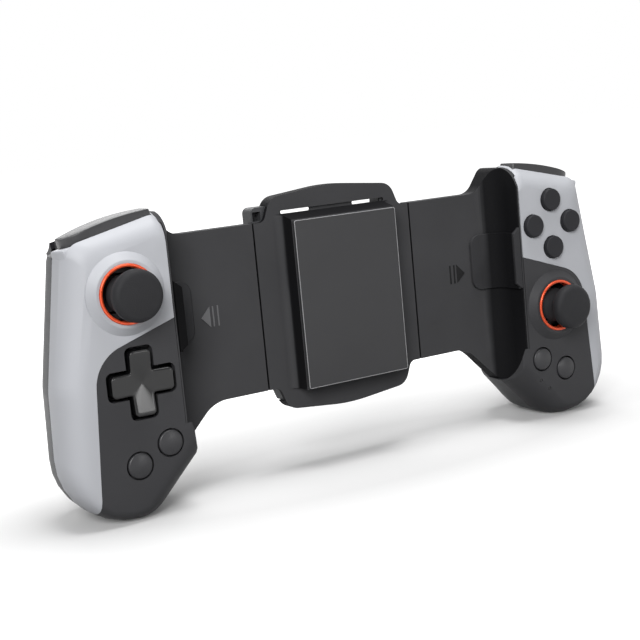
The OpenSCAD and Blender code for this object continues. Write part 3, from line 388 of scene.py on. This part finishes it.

# %% [markdown]
# A few pieces share a material with others but look a little different, through painted light and shade: the
# cover's sides are painted black as shade, the bumper's top is painted lighter than its front, the right clamp
# pad is painted black as shade on the wall and grey on both sides of it, the left slide marks are painted pale
# and the right ones black, and the rest pad's rim is painted pale as a highlight. They get finishes of their
# own.

# %% Finishes of single pieces
ACCENT = {
    # Painted shade: faces of the cover that do not look forward, the block's sides and top, fall to black.
    "cover": finish("centre_cover_plastic_painted_shade", (0.062, 0.062, 0.065), 0.55, relief=0.1, specular=0.03,
                    masks=[facing(Y_AXIS, 0.35, 0.8, 0, 1)], under=SHADE_BLACK),
    "cross": finish("gloss_black_pad", INK, 0.15, relief=0.01, specular=0.35),
    # Painted light and shade: the bumper's top is painted lighter and its front darker, as light falls from
    # above.
    "bumper": finish("bumper_plastic_painted_light", (0.062, 0.062, 0.065), 0.42, relief=0.1, specular=0.4,
                     masks=[facing(Y_AXIS, 0.4, 0.85, 1, 0)], under=(0.022, 0.022, 0.024)),
    # Painted shade: the right clamp pad is painted black in a band at the bay's wall.
    "right_pad": finish("right_clamp_pad", (0.050, 0.050, 0.053), 0.6, relief=0.15, specular=0.03,
                        masks=[apart(Y_AXIS, -0.0040, 0.0056, 0.0074)], under=SHADE_BLACK),
    "panel_button": finish("panel_button", (0.032, 0.032, 0.035), 0.34, relief=0.05, specular=0.3),
    # Painted light and shade: lit and shaded copies of one mark, pale on the left and black on the right.
    "left_mark": finish("mark_painted_light", (0.13, 0.13, 0.135), 0.4, relief=0.03, specular=0.2),
    "right_mark": finish("mark_painted_shade", INK, 0.4, relief=0.03, specular=0.1),
    # Painted highlight: the pale rim stands for the line of light on the rest pad's edge.
    "rim": finish("rim_painted_highlight", (0.34, 0.34, 0.35), 0.3, grain=900, relief=0.02, specular=0.5),
}
print("finishes of single pieces:", len(ACCENT))

# %% [markdown]
# ## From solid to surface
# The CAD solids arrive as loose flat triangles. For a surface that shades smoothly, a copy of each is
# welded: points that share a place become one, flat neighbours are joined into single faces, and edges
# sharper than a limit stay sharp. A narrow bevel then rounds those edges, because a moulded edge always
# carries a thin line of light. Weighted normals keep the large flat faces flat beside their soft edges.

# %% Weld the solids and put pieces into the scene
MICRONS = 1e6
replaced = set()


def weld(node):
    """Mesh of a CAD node's triangles with points at the same micrometre merged into one."""
    solid = nodes[node].data
    points = np.empty(len(solid.vertices) * 3)
    solid.vertices.foreach_get("co", points)
    corner = np.empty(len(solid.loops), dtype=np.int32)
    solid.loops.foreach_get("vertex_index", corner)
    grid = np.round(points.reshape(-1, 3) * MICRONS).astype(np.int64)
    key, back = np.unique(grid, axis=0, return_inverse=True)
    tri = back.reshape(-1)[corner].reshape(-1, 3)
    whole = (tri != np.roll(tri, 1, 1)).all(1)
    mesh = bpy.data.meshes.new(node)
    mesh.from_pydata((key / MICRONS).tolist(), [], tri[whole].tolist())
    return mesh


def smooth(mesh, sharp):
    """Shades a mesh smoothly, apart from edges that turn by more than sharp degrees."""
    mesh.shade_smooth()
    mesh.set_sharp_from_angle(angle=math.radians(sharp))
    return mesh


def add_piece(name, mesh, body, slot, stands_for=(), look=None):
    """Puts a finished mesh into the scene with the finish of a slot, in place of CAD nodes. It rides on a body;
    where body is a tuple of two bodies and the points where it starts and ends, its place is only baked into
    its mesh and the tuple's bodies and points are not used."""
    ob = into_scene(name, mesh)
    mesh.name = name
    mesh.materials.append(look or FINISH[slot])
    if isinstance(body, tuple):
        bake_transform(ob)
    else:
        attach(ob, body)
    if stands_for:
        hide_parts(*stands_for)
    replaced.update(stands_for)
    return ob


def stand_in(node, mesh, look=None):
    """Puts a finished mesh in place of one CAD node, on the same body and in the same slot."""
    return add_piece(node + "_skin", mesh, body_of[node], slot_of[node], [node], look)


print("loose triangles:", sum(len(ob.data.polygons) for ob in nodes.values()))

# %% [markdown]
# The large mouldings keep the shape of their solids. The handles' shells have soft edges already, so they
# are only welded and smoothed; plates, pads, triggers, cover and tray get a bevel as well.

# %% Dress the solids
FLAT_WITHIN, SHARP_FROM = 0.6, 30.0
BEVEL_STEPS = 2
EDGES = {"faceplate": 0, "front_panel": 0, "rear_shell": 0, "slide_arm": 0.15, "clamp_pad": 0.12,
         "trigger": 0.3}
CENTRE_EDGES = {"centre_front_cover": 0.25, "centre_rear_tray": 0.2}
OWN_LOOK = {"right_clamp_pad": ACCENT["right_pad"], "centre_front_cover": ACCENT["cover"]}


def dress(node, edge):
    """A smooth-shaded copy of a CAD node, its sharp edges bevelled to a width of edge millimetres."""
    mesh = weld(node)
    if edge:
        b = bmesh.new()
        b.from_mesh(mesh)
        bmesh.ops.dissolve_limit(b, angle_limit=math.radians(FLAT_WITHIN), verts=b.verts, edges=b.edges)
        b.to_mesh(mesh)
        b.free()
    ob = stand_in(node, smooth(mesh, SHARP_FROM), OWN_LOOK.get(node))
    if edge:
        bevel = ob.modifiers.new("edge", "BEVEL")
        bevel.width = edge * MM
        bevel.segments = BEVEL_STEPS
        bevel.limit_method = "ANGLE"
        bevel.angle_limit = math.radians(SHARP_FROM)
        bevel.use_clamp_overlap = True
    ob.modifiers.new("weigh", "WEIGHTED_NORMAL").keep_sharp = True


for side in SIDES:
    for part, edge in EDGES.items():
        dress(f"{side}_{part}", edge)
for node, edge in CENTRE_EDGES.items():
    dress(node, edge)
print("dressed:", len(replaced))

# %% [markdown]
# ## Turned pieces
# Stick caps, rings and buttons are round, so each is a profile carried once round its own axis. The
# profile is a list of radius and height in millimetres; the surface is the grid of profile points by
# angle. A profile that starts and ends on the axis closes by itself, and one that ends where it began
# makes a ring.

# %% Turning a profile
MERGE_WITHIN = 2e-7


def skin(rows, sharp=40.0):
    """Closed mesh of a grid of rings: quads between neighbours, with coincident points merged into poles."""
    n, m, _ = rows.shape
    i, j = np.meshgrid(np.arange(n - 1), np.arange(m), indexing="ij")
    k = (j + 1) % m
    quads = np.stack([i * m + j, i * m + k, (i + 1) * m + k, (i + 1) * m + j], -1).reshape(-1, 4)
    mesh = bpy.data.meshes.new("surface")
    mesh.from_pydata(rows.reshape(-1, 3).tolist(), [], quads.tolist())
    b = bmesh.new()
    b.from_mesh(mesh)
    bmesh.ops.remove_doubles(b, verts=b.verts, dist=MERGE_WITHIN)
    bmesh.ops.recalc_face_normals(b, faces=b.faces)
    b.to_mesh(mesh)
    b.free()
    return smooth(mesh, sharp)


def arc(cx, cy, r, a0, a1, n):
    """Points on a circle: centre plus r times cosine and sine of n even angles from a0 to a1 degrees."""
    a = np.radians(np.linspace(a0, a1, n))
    return np.column_stack([cx + r * np.cos(a), cy + r * np.sin(a)])


def turned(profile, at, segments=96):
    """Profile of radius and height carried round the forward axis through a point in metres."""
    r, h = np.asarray(profile, float).T * MM
    a = np.linspace(0, 2 * np.pi, segments, endpoint=False)
    rows = np.stack([at[0] + r[:, None] * np.cos(a), np.repeat(at[1] - h[:, None], segments, 1),
                     at[2] + r[:, None] * np.sin(a)], -1)
    return skin(rows)


print("points merge within", MERGE_WITHIN / MM, "mm")

# %% [markdown]
# ## Stick caps and their rings
# A thumbstick cap is a rubber mushroom: a flat top with a soft shoulder, a thin neck, and a round skirt
# that closes the hole while it tilts. The ring round it is a short turned tube with rounded lips, and
# its colour comes from anodising, so it is part metal.

# %% Stick caps and rings
CAP_FLAT, CAP_TOP, CAP_DOME = 6.41, 18.8, 0.45
r = np.linspace(0, CAP_FLAT, 10)
cap_profile = np.vstack([
    np.column_stack([r, CAP_TOP - CAP_DOME * (r / CAP_FLAT) ** 2]),     # top
    arc(5.95, 16.2, 2.2, 76, 5, 12), arc(6.95, 15.4, 1.2, 0, -60, 9),   # shoulder and rim
    [[6.75, 14.5], [3.0, 12.8]],                                        # underside, down to the neck
    arc(0, 0, 9.0, 70.53, 46, 12), arc(0, 0, 8.0, 46, 69.9, 12),        # skirt, outside and inside
    [[2.75, 6.4], [1.55, 6.4], [1.55, 15.6], [0, 15.6]]])               # socket for the stem
ring_profile = np.vstack([
    arc(8.90, 9.15, 0.55, 180, 0, 13),                                  # front lip
    arc(9.05, 5.9, 0.4, 0, -90, 6), arc(8.75, 5.9, 0.4, -90, -180, 6),  # back lip
    [[8.35, 9.15]]])                                                    # where it began
for side, (gx, gz) in STICKS.items():
    pivot = place(SIDES[side], gx, PIVOT_Y, gz)
    stand_in(f"{side}_stick_cap", turned(cap_profile, pivot))
    stand_in(f"{side}_stick_ring", turned(ring_profile, pivot))
print("cap points:", len(cap_profile), "ring points:", len(ring_profile))

# %% [markdown]
# ## Push buttons
# Every push button is a stepped plunger with a flange that keeps it behind the skin. The two on each
# lower panel are softly domed and take the panel's colour; the four on the right face are flatter,
# stand prouder and are darker.

# %% Push buttons
BUTTON_R, BUTTON_EDGE, EDGE_END = 4.1, 0.7, 0.12
STEM_R, STEM_END = 2.6, 5
FLANGE_SUNK, FLANGE_THICK, FLANGE_PAST = 0.3, 1, 0.25


def button_profile(proud, gap, dome):
    """Plunger, flange, straight side, quarter-round edge, then a dome that falls with the radius squared."""
    top, seat, flange = proud - FACE_Y, -SKIN_Y - FLANGE_SUNK, BUTTON_R + gap + FLANGE_PAST
    flat = BUTTON_R - BUTTON_EDGE
    r = np.linspace(flat + EDGE_END, 0, 9)
    return np.vstack([
        [[0, STEM_END], [STEM_R, STEM_END], [STEM_R, seat - FLANGE_THICK], [flange, seat - FLANGE_THICK],
         [flange, seat], [BUTTON_R, seat]],
        arc(flat, top - BUTTON_EDGE - dome, BUTTON_EDGE, 0, 80, 8),
        np.column_stack([r, top - dome * (r / flat) ** 2])])


panel_profile = button_profile(proud=0.8, gap=0.5, dome=0.4)
face_profile = button_profile(proud=1.9, gap=0.25, dome=0.1)
buttons = [(f"{side}_button_{k}", way, *spot, panel_profile, ACCENT["panel_button"])
           for side, way in SIDES.items() for k, spot in ROUND_BUTTONS.items()]
buttons += [(f"face_button_{k}", SIDES["right"], FACE_CENTRE[0] + FACE_PITCH * dx,
             FACE_CENTRE[1] + FACE_PITCH * dz, face_profile, None) for k, (dx, dz) in FACE_BUTTONS.items()]
for node, way, gx, gz, profile, look in buttons:
    stand_in(node, turned(profile, place(way, gx, 0, gz), segments=72), look)
print("buttons:", len(buttons))

# %% [markdown]
# ## Bumpers
# A bumper is a long key along the handle's sloping top. Its front face is a straight band, a crisp edge
# runs along that band, and from there the top rises gently to the back. It is one closed section carried
# along the edge: each station has its own crown height, and towards the outer end the front draws back
# along a quarter of an ellipse. Its underside stays just clear of the slot's floor when the key is pressed.

# %% Bumper sections
# Where the top edge starts, as gx and z, and how steeply it falls
TOP_EDGE = (4.0, 37.816, math.radians(12.85))
# Crown and edge are top, fall and middle of an arch
BUMPER = {"from": -0.8, "to": 28.6, "front": -10.2, "back": -2.4, "sweep": (9.0, 6.0), "pivot": (1.9, -2.9),
          "crown": (2.1, 0.0062, 15), "edge": (1.5, 0.005, 14), "under": -4.45, "rock": math.radians(3.2)}
# Each point of the section: shares of front and back and an offset for the depth, then shares of the
# underside, the front edge and the crown and an offset for the height
SECTION = np.array([
    (0, 1, 0, 1, 0, 0, 0), (1, 0, 0.3, 1, 0, 0, 0), (1, 0, 0, 1, 0, 0, 0.3), (1, 0, 0, 0, 1, 0, -0.45),
    (1, 0, 0.05, 0, 1, 0, -0.2), (1, 0, 0.18, 0, 1, 0, -0.02), (1, 0, 0.42, 0, 1, 0, 0.07),
    (0.5, 0.5, 0, 0, 0.5, 0.5, 0.05), (0, 1, -0.5, 0, 0, 1, -0.08), (0, 1, -0.15, 0, 0, 1, -0.2),
    (0, 1, 0, 0, 0, 1, -0.5)])
# Length of the rounded inner end, and the size of the section at the two closing rings of either end
END_ROUND, END_SIZES = 0.25, (0, 0.93, 0.9, 0)
# First and last angle of the rings on the quarter ellipse, in radians
SWEEP_ANGLES = (0.1, 1.53)


def on_top_edge(way, u, y, v):
    """Part frame, in metres, of points along a handle's top edge: u along it, v off it, y in depth."""
    x0, z0, a = TOP_EDGE
    gx, z = x0 + u * np.cos(a) + v * np.sin(a), z0 - u * np.sin(a) + v * np.cos(a)
    return place(way, gx, y, z)


def arch(u, top, fall, middle):
    """Height that falls off from its top with the square of the distance from the middle."""
    return top - fall * (u - middle) ** 2


def bumper_rows(way):
    """Rings of the bumper: crown and front edge are arches; at the outer end the front draws back along a
    quarter of an ellipse, and the end rings close on their middle."""
    long, deep = BUMPER["sweep"]
    bend = BUMPER["to"] - long
    u = np.concatenate([[BUMPER["from"]] * 2, np.linspace(BUMPER["from"] + END_ROUND, bend, 24),
                        bend + long * np.sin(np.linspace(*SWEEP_ANGLES, 16)), [BUMPER["to"]] * 2])
    past = np.clip((u - bend) / long, 0, 1)
    front = BUMPER["front"] + deep * (1 - np.sqrt(1 - past ** 2))
    under = BUMPER["under"] + math.sin(BUMPER["rock"]) * (u - BUMPER["pivot"][0])
    edge, crown, one = arch(u, *BUMPER["edge"]), arch(u, *BUMPER["crown"]), np.ones_like(u)
    y = np.column_stack([front, BUMPER["back"] * one, one]) @ SECTION[:, :3].T
    v = np.column_stack([under, edge, crown, one]) @ SECTION[:, 3:].T
    size = np.ones((len(u), 1))
    size[[0, 1, -2, -1], 0] = END_SIZES
    y, v = (m.mean(1, keepdims=True) + (m - m.mean(1, keepdims=True)) * size for m in (y, v))
    return on_top_edge(way, u[:, None], y, v)


print("points of the section:", len(SECTION))

# %% Bumpers and their pivots
# A pin with a thinner journal at either end
PIVOT_PROFILE = [(0, 11), (0.7, 11), (0.7, 10.2), (1.5, 10.2), (1.5, 2.4), (0.7, 2.4), (0.7, 1.6), (0, 1.6)]
for side, way in SIDES.items():
    node = f"{side}_bumper"
    stand_in(node, skin(bumper_rows(way), sharp=30.0), ACCENT["bumper"])
    u, v = BUMPER["pivot"]
    pin = turned(PIVOT_PROFILE, on_top_edge(way, u, 0.0, v), segments=32)
    add_piece(node + "_pivot", pin, body_of[node], slot_of[node])
print("bumper length:", BUMPER["to"] - BUMPER["from"], "mm")

# %% [markdown]
# The slot of the bumper runs out at the handle's outer corner. There the faceplate turns up once more: a
# small rounded corner stands on the slot's floor, follows the shell's outline and stops half a millimetre
# short of the bumper's end, so the key swings past it. It is one outline stepped upwards in rings.

# %% Corners at the end of the slots
# Outline as distance along the top edge and depth, the point it shrinks to, and size and height of rings
CORNER = np.array([(25.3, -10.45), (29.9, -10.45), (30.4, -9.75), (30.85, -8.9), (31.16, -8.05),
                   (31.45, -6.6), (31.58, -5.0), (31.6, -3.3), (29.1, -3.3), (29.1, -5.6), (28.2, -7.5),
                   (27.0, -8.6), (25.5, -9.75)])
CORNER_CORE = np.array([30.0, -8.2])
CORNER_RINGS = [(0, -4.75), (1, -4.75), (1, -3.2), (0.97, -2.7), (0.88, -2.3), (0.7, -2.08), (0, -2.0)]
plan = np.stack([CORNER_CORE + (CORNER - CORNER_CORE) * size for size, _ in CORNER_RINGS])
rise = np.array([[height] for _, height in CORNER_RINGS])
for side, way in SIDES.items():
    mesh = skin(on_top_edge(way, plan[..., 0], plan[..., 1], rise))
    add_piece(f"{side}_faceplate_corner", mesh, body_of[f"{side}_faceplate"], "light_shell")
print("corner height:", CORNER_RINGS[-1][1] - CORNER_RINGS[0][1], "mm")

# %% [markdown]
# ## Directional pad
# The pad is a glossy cross whose four arms slope towards the middle, so each mirrors another part of
# the room. Its outline is walked once as a closed curve. Rings step in from that curve: up the wall,
# over a bevel, then inwards to the centre. The height on top is a shallow pyramid turned inside out:
# it falls in step with a smooth mixture of the two distances from the middle.

# %% Outline and height of the cross
CROSS_SPAN, CROSS_ARM, CROSS_ROUND, CROSS_NOTCH = 10.4, 3.6, 1.5, 0.5
CROSS_POINTS = 320
CROSS_FOOT, CROSS_TOP, CROSS_DISH = -4.0, 1.4, 1.2
SAME_SPOT = 1e-6


def cross_outline(s, w, r, q, count):
    """Closed outline of a cross of half span s and half arm w, its outer corners quarter circles of radius r
    and its inner ones of radius q, walked in count even steps; and its outward normals."""
    arm = np.vstack([arc(s - r, r - w, r, -90, 0, 8)[1:-1], arc(s - r, w - r, r, 0, 90, 8),
                     arc(w + q, w + q, q, 270, 180, 5)])
    spin = [np.array([[np.cos(t), -np.sin(t)], [np.sin(t), np.cos(t)]]) for t in np.arange(4) * np.pi / 2]
    loop = np.vstack([arm @ m.T for m in spin])
    loop = loop[np.linalg.norm(np.roll(loop, -1, 0) - loop, axis=1) > SAME_SPOT]
    closed = np.vstack([loop, loop[:1]])
    at = np.concatenate([[0], np.cumsum(np.linalg.norm(np.diff(closed, axis=0), axis=1))])
    even = np.linspace(0, at[-1], count, endpoint=False)
    loop = np.column_stack([np.interp(even, at, closed[:, 0]), np.interp(even, at, closed[:, 1])])
    along = np.roll(loop, -1, 0) - np.roll(loop, 1, 0)
    out = np.column_stack([along[:, 1], -along[:, 0]])
    return loop, out / np.linalg.norm(out, axis=1)[:, None]


def cross_height(plan):
    """Top of the pad: full at the arm ends, falling to the middle with the cubic mean distance."""
    far = (np.abs(plan) ** 3).sum(-1) ** (1 / 3)
    return CROSS_TOP - CROSS_DISH * (1 - np.clip(far / CROSS_SPAN, 0, 1))


print("height in the middle:", round(cross_height(np.zeros(2)), 2), "mm")

# %% Cross-shaped pad
# Rings from the foot up the wall and over the bevel: steps in from the outline, and depths under the top
STEP_IN = np.array([0, 0, 0.06, 0.22, 0.45, 0.75])
UNDER_TOP = np.array([0, 0, 0.42, 0.16, 0.04, 0])
WALL_UNDER = 0.75
INNER_SIZES = np.linspace(0.92, 0, 12)
loop, out = cross_outline(CROSS_SPAN, CROSS_ARM, CROSS_ROUND, CROSS_NOTCH, CROSS_POINTS)
rings = loop - STEP_IN[:, None, None] * out
heights = cross_height(rings) - UNDER_TOP[:, None]
heights[0] = CROSS_FOOT
heights[1] = heights[-1] - WALL_UNDER
inner = INNER_SIZES[:, None, None] * rings[-1]
rings = np.concatenate([np.zeros((1, CROSS_POINTS, 2)), rings, inner])
heights = np.concatenate([np.full((1, CROSS_POINTS), CROSS_FOOT), heights, cross_height(inner)])
gx, gz = CROSS_CENTRE
centre = place(SIDES["left"], gx, FACE_Y, gz)
pad = skin(centre + np.stack([rings[..., 0], -heights, rings[..., 1]], -1) * MM)
stand_in("dpad", pad, ACCENT["cross"])
print("pad points:", len(pad.vertices))

# %% [markdown]
# ## Rest pad
# The phone rests on a thin satin pad with a fine chamfer all round, which catches the light as a thin
# line. It is a rounded rectangle stepped inwards in rings, like the cross above.

# %% Rest pad
REST_ROUND, LEAST_ROUND, ROUND_STEPS = 0.8, 0.12, 10
# Distance in from the outline and share of the depth, from the back over the chamfer, then sizes inwards
REST_RINGS = [(0, 0), (0, 0.62), (0.32, 1.0), (0.62, 1.0), (1.2, 1.0)]
REST_SIZES = (0.75, 0.5, 0.25, 0.0)


def rounded_loop(w, h, r, n):
    """Closed outline of a rectangle w by h whose corners are quarter circles of radius r."""
    return np.vstack([arc(w / 2 - r, h / 2 - r, r, 0, 90, n), arc(r - w / 2, h / 2 - r, r, 90, 180, n),
                      arc(r - w / 2, r - h / 2, r, 180, 270, n), arc(w / 2 - r, r - h / 2, r, 270, 360, n)])


def on_rest(plan, y):
    """Part frame, in metres, of a plan in millimetres about the pad's middle, at the depth y in metres."""
    return np.column_stack([middle[0] + plan[:, 0] * MM, np.full(len(plan), y), middle[2] + plan[:, 1] * MM])


low, high = (np.array(c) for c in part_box("rest_pad"))
middle = (low + high) / 2
wide, tall = (high - low)[[0, 2]] / MM
rings = [rounded_loop(wide - 2 * d, tall - 2 * d, max(REST_ROUND - d, LEAST_ROUND), ROUND_STEPS)
         for d, _ in REST_RINGS]
rings = [rings[0] * 0] + rings + [rings[-1] * size for size in REST_SIZES]
shares = [0] + [share for _, share in REST_RINGS] + [1.0] * len(REST_SIZES)
rows = np.stack([on_rest(ring, high[1] - share * (high[1] - low[1])) for ring, share in zip(rings, shares)])
stand_in("rest_pad", skin(rows, sharp=25.0))
print("rest pad", round(wide, 2), "by", round(tall, 2), "mm")

# %% [markdown]
# A fine pale rim runs round the pad's front edge, a painted highlight for the line of light along that edge. It
# is a small circle carried round the same outline, leaning outwards at every corner.

# %% Rim of the rest pad
RIM_R, RIM_INSET, RIM_BEHIND = 0.13, 0.18, 0.12
path = rounded_loop(wide - 2 * RIM_INSET, tall - 2 * RIM_INSET, REST_ROUND - RIM_INSET, ROUND_STEPS)
inside = np.array([wide, tall]) / 2 - REST_ROUND
outward = path - np.clip(path, -inside, inside)
outward /= np.linalg.norm(outward, axis=1)[:, None]
rows = np.stack([on_rest(path + RIM_R * np.cos(t) * outward, low[1] + (RIM_BEHIND - RIM_R * np.sin(t)) * MM)
                 for t in np.linspace(0, 2 * np.pi, 9)])
# The rim's pale finish is a painted highlight.
add_piece("rest_pad_rim", skin(rows), "centre", "rest_rubber", look=ACCENT["rim"])
print("rim width:", 2 * RIM_R, "mm")

# %% [markdown]
# ## Slide marks
# Each slide plate carries a small moulded mark: an arrow that points outwards, with two bars behind it.
# The arrow is a ramp, highest at its point, so the left one leans towards the lamp and the right one away from
# it. The left marks are painted pale as painted light, and the right ones black as painted shade. Both are thin
# solids laid on the plate.

# %% Slide marks
# Outlines as gx and z, and the lift of each of their corners off the plate
ARROW, ARROW_LIFT = [(-15.2, 0.0), (-18.6, 3.5), (-18.6, -3.5)], [0.42, 0.02, 0.02]
BARS_AT, BAR_WIDE, BAR_HALF, BAR_LIFT = (-19.4, -21.2), 0.6, 3.4, [0.16, 0.02, 0.02, 0.16]
MARK_SUNK = 0.2


def prism(outline, side, lift):
    """Closed solid over a plan of gx and z: a bottom ring sunk in the plate and a top ring lifted by a list."""
    outline, lift = np.asarray(outline, float), np.asarray(lift, float)
    core = outline.mean(0)
    plan = np.stack([core + (outline - core) * size for size in (0, 1, 1, 0)])
    level = np.stack([np.full_like(lift, -MARK_SUNK)] * 2 + [lift, np.full_like(lift, lift.mean())])
    return skin(place(side, plan[..., 0], -level, plan[..., 1]), sharp=20.0)


shapes = {"arrow": (ARROW, ARROW_LIFT)}
for number, gx in enumerate(BARS_AT, 1):
    end = gx - BAR_WIDE
    shapes[f"bar_{number}"] = ([(gx, BAR_HALF), (end, BAR_HALF), (end, -BAR_HALF), (gx, -BAR_HALF)], BAR_LIFT)
for side, way in SIDES.items():
    for part, (outline, lift) in shapes.items():
        add_piece(f"{side}_mark_{part}", prism(outline, way, lift), body_of[f"{side}_slide_arm"],
                  "arm_plastic", look=ACCENT[f"{side}_mark"])
print("marks:", len(SIDES) * len(shapes))

# %% [markdown]
# ## Springs and cables
# The return springs and the flat cables inside the tray stretch when a handle is drawn out: one end stays with
# the centre, the other goes with the handle. Here their welded copies are put in place and their ends are
# worked out, but nothing makes the copies follow.

# %% Springs and cables that stretch
STRETCHING = [(side, part) for side in SIDES for part in ("slide_spring", "flex_cable")]
WIRE_SHARP = 40.0
for side, part in STRETCHING:
    node = f"{side}_{part}"
    low, high = (np.array(c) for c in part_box(node))
    middle = (low + high) / 2
    held, drawn = (high, low) if side == "left" else (low, high)
    ends = [(end[0], middle[1], middle[2]) for end in (held, drawn)]
    mesh = smooth(weld(node), WIRE_SHARP)
    add_piece(node + "_skin", mesh, ("centre", f"{side}_grip", *ends), slot_of[node], [node])
print("stretching pieces:", len(STRETCHING))

# %% [markdown]
# ## The pieces inside
# Boards, gimbals and screws show only through gaps or when the part is taken apart. Their solids stay as
# they are and take their own finishes.

# %% Finish the remaining solids
for name, ob in nodes.items():
    if name not in replaced:
        ob.data.materials.clear()
        ob.data.materials.append(FINISH[slot_of[name]])
print("solids with their own finish:", len(nodes) - len(replaced))
